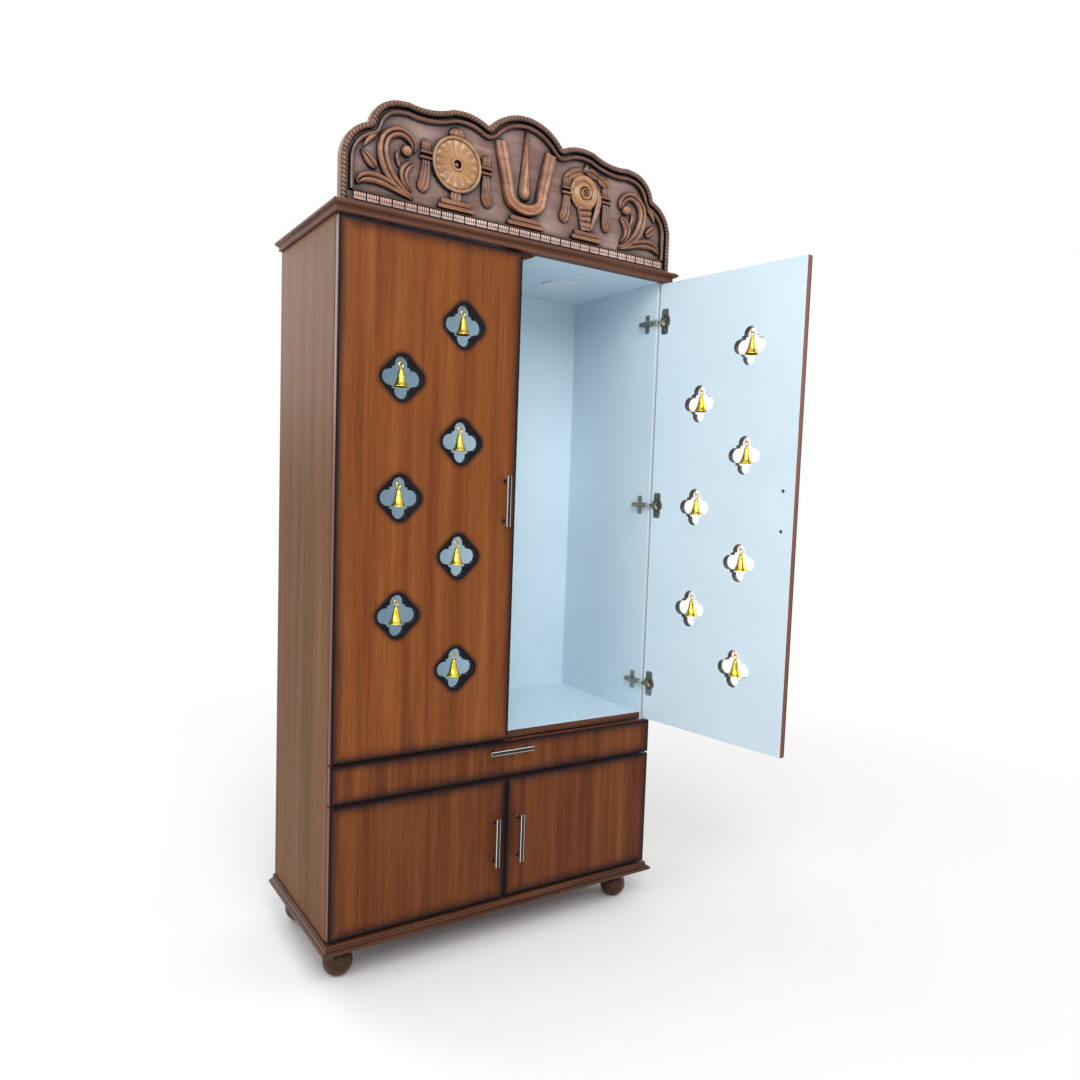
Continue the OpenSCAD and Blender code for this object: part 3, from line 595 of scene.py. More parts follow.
def board(name, node, materials, chosen=None, body="cabinet", **more):
    """A plain board the size of its CAD node."""
    bm = bmesh.new()
    slab(bm, *corners(node), chosen)
    make_piece(bm, name, body, [node], materials, **more)


# Carcass

def make_carcass():
    sides = [SIDE_TEAK, LAMINATE]
    board("left_side_board", "left_side_panel", sides, {"+x": 1}, lot=0.3)
    board("right_side_board", "right_side_panel", sides, {"-x": 1, "-y": 1}, lot=0.7)
    board("back_board", "back_panel", [BACK_TEAK, LAMINATE], {"-y": 1}, lot=1.1)
    board("shrine_shelf_board", "shrine_shelf", [TRIM_TEAK, LAMINATE], {"+z": 1, "-z": 1}, grain="x")
    board("drawer_deck_board", "drawer_deck", [PAINT, LAMINATE], {"+z": 1, "-z": 1}, grain="x")


def make_door_stop():
    """A block under the ceiling, its lower edge an arc, that the tall doors close against."""
    lo, hi = corners("door_stop")
    radius = 80
    half = math.sqrt(radius ** 2 - (radius - (hi.z - lo.z)) ** 2)
    xs = [half * math.sin(math.pi * (k / 24 - 0.5)) for k in range(25)]
    outline = [(x, lo.z + radius - math.sqrt(radius ** 2 - x ** 2)) for x in xs]
    bm = sheet([outline], lo.y, hi.y, ease=0.6)
    make_piece(bm, "ceiling_door_stop", "cabinet", ["door_stop"], [TRIM_TEAK], grain="x")


# The edge of the two moulded boards, as distance in from the widest line and height from the
# narrow face: a bead, a cove and a rounded nosing
MOULDING = [(17.0, 0), (11.5, 0), (11.5, 1.2), (10.4, 2.0), (9.8, 3.2), (10.4, 4.4), (11.3, 5.2),
            (11.3, 6.4), (10.8, 8.2), (9.4, 9.9), (7.2, 11.2), (4.6, 11.8), (3.2, 11.9), (3.2, 13.2),
            (1.6, 13.7), (0.4, 15.0), (0, 16.8), (0.4, 18.6), (1.4, 20.0), (2.8, 20.8), (3.4, 22.0)]


EDGE_WIDE = 40


def moulded_board(node, name, upside_down, wood):
    """A board with a moulded front and ends, mitred at the corners, its grain along each edge."""
    lo, hi = corners(node)
    narrow, wide = (hi.z, lo.z) if upside_down else (lo.z, hi.z)
    steps = [(inset, narrow + (wide - narrow) * rise / MOULDING[-1][1]) for inset, rise in MOULDING]
    turned = [(Vector((hi.x - inset, lo.y + inset, z)), Vector((hi.x - inset, hi.y, z)))
              for inset, z in steps + [(EDGE_WIDE, wide)]]
    bm = bmesh.new()
    loft(bm, [[MIRROR @ a, a] for a, b in turned], closed=False)
    make_piece(closed_up(bm), f"{name}_front_moulding", "cabinet", (), [wood], grain="x", smooth=50)
    bm = bmesh.new()
    for flip in (Matrix(), MIRROR):
        loft(bm, [[flip @ a, flip @ b] for a, b in turned], closed=False)
    make_piece(closed_up(bm), f"{name}_end_mouldings", "cabinet", (), [wood], grain="y", smooth=50)
    core = moulded_core(lo, hi, narrow, wide, steps)
    make_piece(core, name, "cabinet", [node], [wood, LAMINATE], grain="x", lot=0.2)


def moulded_core(lo, hi, narrow, wide, steps):
    """The rest of the board: its wide face, its narrow face with laminate inside, and its sawn rear."""
    bm = bmesh.new()

    def face(*points):
        return bm.faces.new([bm.verts.new(point) for point in points])
    x, y = hi.x - EDGE_WIDE, lo.y + EDGE_WIDE
    face((-x, y, wide), (x, y, wide), (x, hi.y, wide), (-x, hi.y, wide))
    foot_x, foot_y = hi.x - steps[0][0], lo.y + steps[0][0]
    outer = [(-foot_x, hi.y), (-foot_x, foot_y), (foot_x, foot_y), (foot_x, hi.y)]
    wall = [(-WALL_X, hi.y), (-WALL_X, FRONT_Y), (WALL_X, FRONT_Y), (WALL_X, hi.y)]
    for k in range(3):
        face(*((*p, narrow) for p in (outer[k], outer[k + 1], wall[k + 1], wall[k])))
    face(*((*p, narrow) for p in wall)).material_index = 1
    bmesh.ops.remove_doubles(bm, verts=bm.verts, dist=WELD)
    face(*((side * (hi.x - inset), hi.y, z)
           for side, run in ((1, steps), (-1, steps[::-1])) for inset, z in run))
    for made in bm.faces:
        made.normal_update()
        rise = made.calc_center_median().z - (lo.z + hi.z) / 2
        level = abs(made.normal.z) > 0.5
        if level and made.normal.z * rise < 0 or made.normal.y < -0.5:
            made.normal_flip()
    return bm


def make_feet():
    """Turned ball feet: a flat, the ball, a quirk and a collar under the base board."""
    lo, hi = corners("ball_feet")
    ball_r, flat_r, neck_r, tall = 35, 13, 17, hi.z
    ball_z = math.sqrt(ball_r ** 2 - flat_r ** 2)
    start, stop = -math.acos(flat_r / ball_r), math.radians(62)
    turns = [start + (stop - start) * k / 24 for k in range(25)]
    profile = [(0.01, 0)] + [(ball_r * math.cos(a), ball_z + ball_r * math.sin(a)) for a in turns]
    profile += [(15.4, 64.2), (14.8, 65.2), (neck_r, 66.4), (neck_r, 69.5), (15.6, 71), (14.6, 74),
                (15.2, 78), (neck_r, 81), (neck_r, tall)]
    bm = bmesh.new()
    for x in (lo.x + ball_r, hi.x - ball_r):
        for y in (lo.y + ball_r, hi.y - ball_r):
            revolve(bm, profile, (x, y, 0), count=48)
    make_piece(closed_up(bm), "turned_ball_feet", "cabinet", ["ball_feet"], [TURNED_TEAK], grain="x")


def make_ceiling_lights():
    """Slim round ceiling lights, unlit: a rolled bezel round an opal cover."""
    lo, hi = corners("ceiling_lights")
    radius, deep = (hi.y - lo.y) / 2, hi.z - lo.z
    profile = [(radius, 0), (radius, 2), (radius - 1.2, deep - 0.6), (radius - 3, deep),
               (radius - 6, deep - 0.6), (radius - 7, deep - 1.8), (radius * 0.5, deep - 1.5),
               (0.01, deep - 1.4)]
    bm = bmesh.new()
    for x in (lo.x + radius, hi.x - radius):
        revolve(bm, profile, (x, (lo.y + hi.y) / 2, hi.z), (0, 0, -1), count=64)
    make_piece(closed_up(bm), "round_ceiling_lights", "cabinet", ["ceiling_lights"], [OPAL])


# Doors

TALL_HINGE_END, LOWER_HINGE_END, BORE_R, DOOR_EASE = 100, 62, 16.5, 0.9
TALL_HINGES = [TALL_LO.z + TALL_HINGE_END, TALL_MID, TALL_HI.z - TALL_HINGE_END]
LOWER_HINGES = [LOWER_LO.z + LOWER_HINGE_END, LOWER_HI.z - LOWER_HINGE_END]
CUP_X = sum(corner.x for corner in mirrored_corners("left_tall_hinge_cups")) / 2


def bell_x(k):
    return BELL_FAR if k % 2 else BELL_NEAR


def four_lobes(x, z, count=96):
    """Outline of an opening: four round lobes with the corners of a square between them."""
    found = []
    for k in range(count):
        a = 2 * math.pi * k / count
        reach = LOBE_SQUARE / max(abs(math.cos(a)), abs(math.sin(a)))
        for quarter in range(4):
            off = a - quarter * math.pi / 2
            under = LOBE_R ** 2 - (LOBE_OFF * math.sin(off)) ** 2
            if under > 0 and math.cos(off) > 0:
                reach = max(reach, LOBE_OFF * math.cos(off) + math.sqrt(under))
        found.append((x + reach * math.cos(a), z + reach * math.sin(a)))
    return found


def rectangle(lo, hi):
    return [(lo.x, lo.z), (hi.x, lo.z), (hi.x, hi.z), (lo.x, hi.z)]


def paint_door(bm, lo, hi):
    """Veneer in front, laminate behind, black in the openings and a banded edge all round."""
    paint_faces(bm.faces, {"-y": 0, "+y": 1, "all": 2})
    edge_t = 2
    for face in bm.faces:
        middle = face.calc_center_median()
        edge = min(middle.x - lo.x, hi.x - middle.x, middle.z - lo.z, hi.z - middle.z)
        if face.material_index == 2 and edge < edge_t:
            face.material_index = 3


def make_door(name, node, turn, lo, hi, hinges, front, lot, holed=False):
    loops = [rectangle(lo, hi)]
    if holed:
        loops += [four_lobes(bell_x(k), OPENING_ZS[k]) for k in range(BELLS)]
    bm = sheet(loops, lo.y, hi.y, DOOR_EASE, bores=[circle((CUP_X, z), BORE_R) for z in hinges])
    paint_door(bm, lo, hi)
    make_piece(bm, name, node, [node], [front, LAMINATE, PAINT, EDGE_BAND], turn=turn, lot=lot, smooth=30)


def make_doors():
    tall = (TALL_LO, TALL_HI, TALL_HINGES, HOLED_VENEER)
    lower = (LOWER_LO, LOWER_HI, LOWER_HINGES, VENEER)
    make_door("left_tall_door_board", "left_tall_door", MIRROR, *tall, lot=0.0, holed=True)
    make_door("right_tall_door_board", "right_tall_door", SWUNG, *tall, lot=1.7, holed=True)
    make_door("lower_left_door_board", "lower_left_door", MIRROR, *lower, lot=0.9)
    make_door("lower_right_door_board", "lower_right_door", None, *lower, lot=2.3)


# Bells and hooks

def make_hooks(name, body, node, turn):
    """Wires that come down from the openings' tops, pass under a ring and rise again."""
    bend_r, sag, wire_r = 5, 2.2, 0.95
    rosette = [(2.6, 0), (2.6, 0.5), (1.6, 1.3), (0.9, 1.5)]
    bm = bmesh.new()
    for k in range(BELLS):
        x, z, top = bell_x(k), HOOKS[k].z, OPENING_ZS[k] + LOBE_OFF + LOBE_R
        path = [(x, BELL_Y + bend_r, top - 0.3), (x, BELL_Y + bend_r, z + 3)]
        for step in range(9):
            a = math.radians(-180 * step / 8)
            path.append((x, BELL_Y + bend_r * math.cos(a), z + sag + sag * math.sin(a)))
        tube(bm, path + [(x, BELL_Y - bend_r, z + 3.6)], wire_r)
        revolve(bm, rosette, (x, BELL_Y + bend_r, top - 0.1), (0, 0, -1), count=16)
    make_piece(closed_up(bm), name, body, [node], [BRASS_WIRE], turn=turn)


# A bell's casting as radius and height over its mouth, from the lip up, and its hollow from the top down
BELL_OUTSIDE = [(16.3, 0.2), (17.0, 0.5), (17.1, 1.2), (16.6, 2.2), (15.4, 3.6), (14.9, 4.2), (15.0, 4.9),
                (14.3, 5.5), (13.0, 7.6), (11.6, 10.5), (10.2, 14.5), (8.9, 19.0), (7.6, 24.0), (6.6, 29.0),
                (6.0, 32.5), (5.6, 35.2), (4.8, 37.4), (3.5, 38.8), (2.4, 39.3), (2.2, 40.4), (3.0, 41.2),
                (3.0, 42.0), (1.8, 43.0), (0.01, 43.3)]
BELL_INSIDE = [(0.01, 36.0), (3.0, 35.6), (4.4, 33.0), (5.4, 28.0), (7.4, 20.5), (9.4, 13.0), (11.6, 8.0),
               (13.6, 4.8), (15.6, 1.4)]


def make_bell(name, node, turn, k):
    """A small cast bell with a flared, beaded lip and a domed crown, its ring and clapper."""
    ring_r, ring_wire, drop, ball_r = 5.2, 1.25, 2.9, 2.9
    x, z = bell_x(k), HOOKS[k].z
    mouth_z = z - drop - ring_r - BELL_OUTSIDE[-2][1]
    bm = bmesh.new()
    revolve(bm, BELL_INSIDE + BELL_OUTSIDE[:1], (x, BELL_Y, mouth_z), count=48, material=1)
    revolve(bm, BELL_OUTSIDE, (x, BELL_Y, mouth_z), count=48)
    bmesh.ops.remove_doubles(bm, verts=bm.verts, dist=3 * WELD)
    turns = circle((x, z - drop), ring_r, 24)
    tube(bm, [(ring_x, BELL_Y, ring_z) for ring_x, ring_z in turns + turns[:1]], ring_wire, (0, 1, 0), 8)
    tube(bm, [(x, BELL_Y, mouth_z + 36.5), (x, BELL_Y, mouth_z + 6)], 0.7, sides=8)
    clapper = [(max(ball_r * math.sin(math.radians(a)), 0.01), -ball_r * math.cos(math.radians(a)))
               for a in range(0, 181, 15)]
    revolve(bm, clapper, (x, BELL_Y, mouth_z + 5), count=24)
    make_piece(closed_up(bm), name, node, [node], [BRASS, DARK_BRASS], turn=turn, lot=k * 0.4)


def make_bells():
    for side, turn in (("left", MIRROR), ("right", SWUNG)):
        make_hooks(f"{side}_hook_wires", f"{side}_tall_door", f"{side}_bell_hooks", turn)
        for k in range(BELLS):
            make_bell(f"{side}_brass_bell_{k + 1}", f"{side}_bell_{k + 1}", turn, k)


# Handles

POST_PITCH, BAR_T, GROOVE_DEPTH = 96, 8, 0.7


def bar_section(half_w, half_t, rounding=1.6):
    """Rounded corners and a wide, shallow groove along the front. Returns (across, out) points."""
    found = []
    groove = half_w - rounding - 0.2
    for corner, (sx, sy) in enumerate(((1, -1), (1, 1), (-1, 1), (-1, -1))):
        for k in range(6):
            a = math.radians(90 * corner - 90 + 18 * k)
            found.append((sx * (half_w - rounding) + rounding * math.cos(a),
                          sy * (half_t - rounding) + rounding * math.sin(a)))
        if corner == 1:
            found += [(groove, half_t), (groove - 0.3, half_t - GROOVE_DEPTH),
                      (0.3 - groove, half_t - GROOVE_DEPTH), (-groove, half_t)]
    return found


def bar_handle(bm, lo, hi, along):
    """A bar with rounded edges and a dark band in a groove down its front, on two flared posts."""
    long_axis = "xyz".index(along)
    wide_axis = 2 - long_axis
    mid = (lo + hi) / 2
    half_l, half_w = (hi[long_axis] - lo[long_axis]) / 2, (hi[wide_axis] - lo[wide_axis]) / 2
    section = bar_section(half_w, BAR_T / 2)
    rings = []
    for part, size in ((-1, 0.72), (-0.995, 0.9), (-0.985, 1), (0.985, 1), (0.995, 0.9), (1, 0.72)):
        ring = []
        for across, out in section:
            point = Vector(mid)
            point[long_axis] += part * half_l
            point[wide_axis] += across * size
            point.y = lo.y + BAR_T / 2 - out * size
            ring.append(point)
        rings.append(ring)
    rows = loft(bm, rings)
    groove = section.index(min(section, key=lambda p: (abs(p[1] - BAR_T / 2 + GROOVE_DEPTH), -p[0])))
    for row, after in zip(rows[1:-1], rows[2:-1]):
        face = bm.faces.get((row[groove], row[groove + 1], after[groove + 1], after[groove]))
        face.material_index = 1
    for row in (rows[0], rows[-1]):
        bm.faces.new(row)
    for end in (-1, 1):
        place = Vector(mid)
        place[long_axis] += end * POST_PITCH / 2
        place.y = hi.y
        reach = hi.y - lo.y - BAR_T + 1
        post = [(5.6, 0), (5.6, 1.0), (4.6, 2.2), (4.0, 4.0), (4.0, reach)]
        revolve(bm, post, place, (0, -1, 0), count=28, material=2)


def make_handle(name, body, node, turn, lo, hi, along="z"):
    bm = bmesh.new()
    bar_handle(bm, lo, hi, along)
    metals = [SATIN_STEEL, INLAY, DARK_SCREW]
    make_piece(closed_up(bm), name, body, [node], metals, turn=turn, grain=along)


def make_handles():
    tall, lower = mirrored_corners("left_tall_handle"), mirrored_corners("lower_left_handle")
    make_handle("left_tall_bar_handle", "left_tall_door", "left_tall_handle", MIRROR, *tall)
    make_handle("right_tall_bar_handle", "right_tall_door", "right_tall_handle", SWUNG, *tall)
    make_handle("lower_left_bar_handle", "lower_left_door", "lower_left_handle", MIRROR, *lower)
    make_handle("lower_right_bar_handle", "lower_right_door", "lower_right_handle", None, *lower)
    make_handle("drawer_bar_handle", "drawer", "drawer_handle", None, *corners("drawer_handle"), "x")
    for body, turn, box in (("left_tall_door", MIRROR, tall), ("right_tall_door", SWUNG, tall),
                            ("lower_left_door", MIRROR, lower), ("lower_right_door", None, lower)):
        middle = (box[0] + box[1]) / 2
        bm = bmesh.new()
        for end in (-1, 1):
            screw_head(bm, (middle.x, DOOR_IN_Y, middle.z + end * POST_PITCH / 2), (0, 1, 0), radius=4.2)
        make_piece(closed_up(bm), f"{body}_handle_screws", body, (), [DARK_SCREW], turn=turn)


# Hinges

# A cup as radius and height over the door's inner face, from the rolled lip in to its floor
CUP = [(18.4, 0), (18.4, 0.7), (17.9, 1.1), (16.3, 1.1), (15.9, 0.4), (15.8, -11.4), (14.8, -12.4),
       (0.01, -12.5)]


def flange(bm, z, half_w, half_h, thick):
    """The pressed plate of a cup, with rounded corners, lying on the door round the bored hole."""
    outer, inner = [], []
    for k in range(64):
        a = 2 * math.pi * (k + 0.5) / 64
        x, y = (math.copysign(abs(part) ** 0.3, part) for part in (math.cos(a), math.sin(a)))
        outer.append((CUP_X + half_w * x, z + half_h * y))
        inner.append((CUP_X + 10 * math.cos(a), z + 16 * math.sin(a)))
    loft(bm, [[(x, DOOR_IN_Y + y, height) for x, height in loop]
              for loop, y in ((outer, 0), (outer, thick - 0.3), (outer, thick), (inner, thick))])


def make_cups(name, body, node, turn, heights):
    """Hinge cups sunk in the door, each with a screwed flange and a cross pin."""
    bm = bmesh.new()
    for z in heights:
        flange(bm, z, half_w=11.8, half_h=33.4, thick=1.1)
        revolve(bm, CUP, (CUP_X, DOOR_IN_Y, z), (0, 1, 0))
        for end in (-1, 1):
            screw_head(bm, (CUP_X, DOOR_IN_Y + 0.55, z + end * 25), (0, 1, 0), radius=3.6)
        pin = [(CUP_X + 12.5, DOOR_IN_Y - 3.4, z + end * 9.5) for end in (-1, 1)]
        tube(bm, pin, 1.4)
    make_piece(closed_up(bm), name, body, [node], [NICKEL], turn=turn)


def hinge_arm(bm, z, side):
    """A stepped arm on its cross-shaped mounting plate, with its screws and the bright link."""
    plate_t, arm_t, tip = 2, 11, corners("tall_hinge_arms")[0].y
    plate_y = FRONT_Y + 37

    def on_wall(inward, y, half_z, material=0, ease=0.5):
        """A block on the side panel, from inward[0] to inward[1] away from it."""
        xs = sorted((side * (WALL_X - inward[0]), side * (WALL_X - inward[1])))
        slab(bm, (xs[0], y[0], z - half_z), (xs[1], y[1], z + half_z), {"all": material}, ease)

    # The wings, the base, the arm, its nose, and the link's two limbs
    on_wall((0, plate_t), (plate_y - 8, plate_y + 8), 24.5)
    on_wall((0, plate_t + 1.4), (FRONT_Y + 4, FRONT_Y + 61.5), 6)
    on_wall((plate_t, plate_t + arm_t), (FRONT_Y + 13, FRONT_Y + 60), 5.6, ease=1.4)
    on_wall((plate_t, plate_t + arm_t - 1.5), (FRONT_Y + 0.5, FRONT_Y + 15), 5.2, ease=1.2)
    on_wall((plate_t + 1, plate_t + arm_t - 2), (tip + 0.1, FRONT_Y + 3), 4.6, 1)
    on_wall((plate_t + 2, WALL_X - AXIS.x + 8.3), (tip + 0.1, tip + 1.4), 4.6, 1, 0.3)
    for y in (FRONT_Y + 20, FRONT_Y + 52):
        screw_head(bm, (side * (WALL_X - plate_t - arm_t + 0.6), y, z), (-side, 0, 0), radius=3.3)
    for end in (-1, 1):
        screw_head(bm, (side * (WALL_X - plate_t), plate_y, z + end * 18), (-side, 0, 0), radius=3.6)


def make_hinges():
    for side, turn in (("left", MIRROR), ("right", SWUNG)):
        make_cups(f"{side}_tall_cups", f"{side}_tall_door", f"{side}_tall_hinge_cups", turn, TALL_HINGES)
    for side, turn in (("left", MIRROR), ("right", None)):
        make_cups(f"lower_{side}_cups", f"lower_{side}_door", f"lower_{side}_hinge_cups", turn, LOWER_HINGES)
    for node, heights in (("tall_hinge_arms", TALL_HINGES), ("lower_hinge_arms", LOWER_HINGES)):
        bm = bmesh.new()
        for z in heights:
            for side in (-1, 1):
                hinge_arm(bm, z, side)
        make_piece(closed_up(bm), f"{node}_with_links", "cabinet", [node], [NICKEL, ZINC])


# Drawer

def paired_slab(bm, xs, ys, zs, ease=0.7):
    """A board on each side, from xs[0] to xs[1] off the middle."""
    for side in (-1, 1):
        ends = sorted((side * xs[0], side * xs[1]))
        slab(bm, (ends[0], ys[0], zs[0]), (ends[1], ys[1], zs[1]), ease=ease)


def make_drawer():
    lo, hi = corners("drawer_front")
    bm = sheet([rectangle(lo, hi)], lo.y, hi.y, DOOR_EASE)
    paint_door(bm, lo, hi)
    faces = [VENEER, LAMINATE, PAINT, EDGE_BAND]
    make_piece(bm, "drawer_front_board", "drawer", ["drawer_front"], faces, lot=3.1)
    lo, hi = corners("drawer_box")
    wall = 12
    bm = bmesh.new()
    paired_slab(bm, (hi.x - wall, hi.x), (lo.y, hi.y), (lo.z, hi.z))
    for y in (lo.y, hi.y - wall):
        slab(bm, (wall - hi.x, y, lo.z), (hi.x - wall, y + wall, hi.z))
    make_piece(bm, "drawer_box_boards", "drawer", ["drawer_box"], [LAMINATE])
    board("drawer_bottom_board", "drawer_bottom", [LAMINATE], body="drawer")


def make_drawer_slides():
    """A pressed channel on each side panel and a lipped rail on each drawer side."""
    box_x, gauge = corners("drawer_box")[1].x, 1.2
    lo, hi = corners("drawer_slides")
    bm = bmesh.new()
    paired_slab(bm, (box_x, box_x + 2), (lo.y, hi.y), (lo.z, hi.z), 0.3)
    for z in (lo.z + gauge + 0.3, hi.z - 2 * gauge - 0.3):
        paired_slab(bm, (box_x + 1.8, hi.x), (lo.y, hi.y), (z, z + gauge), 0.3)
    make_piece(bm, "drawer_slide_rails", "drawer", ["drawer_slides"], [NICKEL], grain="y")
    lo, hi = corners("drawer_runners")
    bm = bmesh.new()
    paired_slab(bm, (hi.x - gauge, hi.x), (lo.y, hi.y), (lo.z, hi.z), 0.3)
    for z in (lo.z, hi.z - gauge):
        paired_slab(bm, (hi.x - 10.7, hi.x), (lo.y, hi.y), (z, z + gauge), 0.3)
    make_piece(bm, "drawer_runner_channels", "cabinet", ["drawer_runners"], [NICKEL], grain="y")


# Crest: x is from the middle and z from the top of the cornice

SHOULDER_R = 90
# Circles of the outline as x, z and radius: the side lobe's two ends and the dip in its top
LOBE_OUT, LOBE_IN = (312, 160, 76), (162, 124, 130)
DIP = (266, 407, 172)
MIDDLE_LOBE = (156, 130)  # z and radius
# Heights of the carving below are multiplied by this, up to the full relief
CARVE = 1.4


def arch(x, centre, base, radius):
    """Height of a circle's top over x, or 0 beside it."""
    return base + math.sqrt(radius ** 2 - (x - centre) ** 2) if abs(x - centre) < radius else 0


def crest_top(x):
    """Height of the outline over x: a round shoulder, a dipped side lobe and the middle lobe."""
    x = abs(x)
    shoulder = arch(max(x, CREST_HALF - SHOULDER_R), CREST_HALF - SHOULDER_R, SHOULDER_R, SHOULDER_R)
    lobe = max(arch(x, *LOBE_OUT), arch(x, *LOBE_IN))
    run, rise = LOBE_OUT[0] - LOBE_IN[0], LOBE_OUT[1] - LOBE_IN[1]
    lean = math.atan2(rise, run) - math.asin((LOBE_IN[2] - LOBE_OUT[2]) / math.hypot(run, rise))
    touch = [Vector(lobe_circle[:2]) + Vector((-math.sin(lean), math.cos(lean))) * lobe_circle[2]
             for lobe_circle in (LOBE_IN, LOBE_OUT)]
    if touch[0].x < x < touch[1].x:
        lobe = touch[0].y + (x - touch[0].x) * math.tan(lean)
    if abs(x - DIP[0]) < DIP[2]:
        lobe = min(lobe, DIP[1] - math.sqrt(DIP[2] ** 2 - (x - DIP[0]) ** 2))
    return max(shoulder, SHOULDER_R, lobe, arch(x, 0, *MIDDLE_LOBE))


def even_points(points, step):
    """The same line with its points step apart."""
    found, left = [points[0]], step
    for a, b in zip(points, points[1:]):
        a, b = Vector(a), Vector(b)
        long = (b - a).length
        at = left
        while at < long:
            found.append(tuple(a + (b - a) * at / long))
            at += step
        left = at - long
    return found


def crest_line(inset, step, floor=0):
    """The outline from the left foot over the top to the right foot, moved inwards by inset. Points
    that another part of the outline is nearer to than inset are left out."""
    fine, around = 1800, 90
    over = [-CREST_HALF * math.cos(math.pi * k / fine) for k in range(fine + 1)]
    raw = [(-CREST_HALF, 0)] + [(x, crest_top(x)) for x in over] + [(CREST_HALF, 0)]
    raw = even_points(raw, 1.0)
    if not inset:
        return even_points(raw, step)
    kept = []
    for k, (x, z) in enumerate(raw):
        along = (Vector(raw[min(k + 2, len(raw) - 1)]) - Vector(raw[max(k - 2, 0)])).normalized()
        moved = Vector((x + along.y * inset, z - along.x * inset))
        near = raw[max(k - around, 0):k + around]
        clear = min((moved.x - a) ** 2 + (moved.y - b) ** 2 for a, b in near) > (inset - 0.25) ** 2
        if clear and moved.y >= floor:
            kept.append(tuple(moved))
    return even_points(kept, step)


def relief_point(x, z, height):
    """A point of the carving that stands out of the field by height, in mm before CARVE."""
    return Vector((x, FIELD_Y + 0.3 - min(height * CARVE, RELIEF), CREST_Z + z))


def relief_piece(bm, name, node, wood=CARVED):
    """Makes a carved piece, all its faces turned to the front."""
    bm.normal_update()
    for face in bm.faces:
        if face.normal.y > 0:
            face.normal_flip()
    make_piece(bm, name, "cabinet", [node], [wood, GILDED], grain="x", smooth=60)


def make_crest_board():
    bm = sheet([crest_line(inset=0, step=4)], FIELD_Y, CREST_HI.y, ease=0.6, segments=1)
    bmesh.ops.translate(bm, verts=bm.verts, vec=(0, 0, CREST_Z))
    paint_faces(bm.faces, {"-y": 0, "+y": 1, "all": 2})
    make_piece(bm, "crest_back_board", "cabinet", ["crest_board"], [FIELD, BACK_TEAK, RAW_TEAK], grain="x")


def band(bm, line, half, height, strand=0):
    """A rounded band along a line, cut into slanting strands where strand is their pitch."""
    rings = []
    travelled = 0
    for k, (x, z) in enumerate(line):
        before, after = Vector(line[max(k - 1, 0)]), Vector(line[min(k + 1, len(line) - 1)])
        along = (after - before).normalized()
        travelled += (Vector(line[k]) - before).length
        ring = []
        for j in range(13):
            u = math.sin(math.pi * (j / 12 - 0.5))
            rise = height * math.sqrt(max(1 - u * u, 0)) ** 0.7
            if strand:
                notch = 1 - abs(math.sin(math.pi * (travelled + u * 3) / strand))
                rise *= 1 - 0.26 * notch ** 5
            ring.append(relief_point(x + along.y * half * u, z - along.x * half * u, rise))
        rings.append(ring)
    loft(bm, rings, closed=False)


def make_crest_rim():
    """The notched rim, its blocks 9 mm apart and slanting, with a wide fillet inside a groove."""
    bm = bmesh.new()
    foot_z, foot_x = 28.5, CREST_HALF - 26
    rim, fillet = crest_line(inset=8.0, step=0.8), crest_line(inset=24.5, step=2.5, floor=foot_z)
    band(bm, rim, half=7.4, height=(RELIEF - 0.6) / CARVE, strand=9)
    band(bm, fillet, half=5.4, height=7.5)
    band(bm, even_points([(-foot_x, foot_z), (foot_x, foot_z)], 6), half=2.8, height=6)
    relief_piece(bm, "roped_rim_and_fillet", "crest_rim", RIM)


def block(bm, xs, zs, out, ease):
    """A straight block of the carving that stands out of the field by out."""
    slab(bm, (xs[0], FIELD_Y - out, CREST_Z + zs[0]), (xs[1], FIELD_Y + 0.2, CREST_Z + zs[1]), ease=ease)


def make_bead_border():
    """The border along the foot: blocks whose upper half is cut into five teeth, over a strip."""
    pitch, teeth, gap = 29, 5, 2.4
    tooth = (pitch - gap) / teeth
    count = int((2 * CREST_HALF - 40) / pitch)
    bm = bmesh.new()
    for number in range(count):
        x = (number - count / 2) * pitch + gap / 2
        block(bm, (x, x + pitch - gap), (8.6, 15.5), out=10.5, ease=1.0)
        for k in range(teeth):
            left = x + k * tooth
            block(bm, (left + 0.3, left + tooth - 0.7), (15, 24.5), out=11.5, ease=1.2)
    make_piece(bm, "bead_border", "cabinet", (), [BEADS], grain="x")
    bm = bmesh.new()
    for inset, zs, out in ((0.6, (0.4, 7.8), 9), (17, (7, 26.5), 4)):
        block(bm, (inset - CREST_HALF, CREST_HALF - inset), zs, out, ease=1.2)
    make_piece(bm, "crest_foot_strips", "cabinet", (), [CARVED], grain="x")


# Cross-sections of carved strokes, from -1 to 1 across

def dome(u):
    return math.sqrt(max(1 - u * u, 0)) ** 0.8


def fluted(u):
    return dome(u) * (1 - 0.45 * math.exp(-(u / 0.22) ** 2))


def twice_fluted(u):
    return dome(u) * (1 - 0.5 * sum(math.exp(-((u - at) / 0.16) ** 2) for at in (-0.33, 0.33)))


def ridged(u):
    return (1 - abs(u)) ** 0.75


def flat_topped(u):
    return min(1.0, 3.2 * (1 - abs(u))) * (1 - 0.22 * math.exp(-(u / 0.3) ** 2))


def smooth_path(points, step):
    """Points about step apart on a smooth curve through the given ones."""
    padded = [points[0]] + list(points) + [points[-1]]
    found = []
    for a, b, c, d in zip(padded, padded[1:], padded[2:], padded[3:]):
        count = max(2, round(math.dist(b[:2], c[:2]) / step))
        for k in range(count):
            t = k / count
            found.append([0.5 * (2 * q + (r - p) * t + (2 * p - 5 * q + 4 * r - s) * t * t
                                 + (3 * q - p - 3 * r + s) * t ** 3) for p, q, r, s in zip(a, b, c, d)])
    return found + [list(points[-1])]


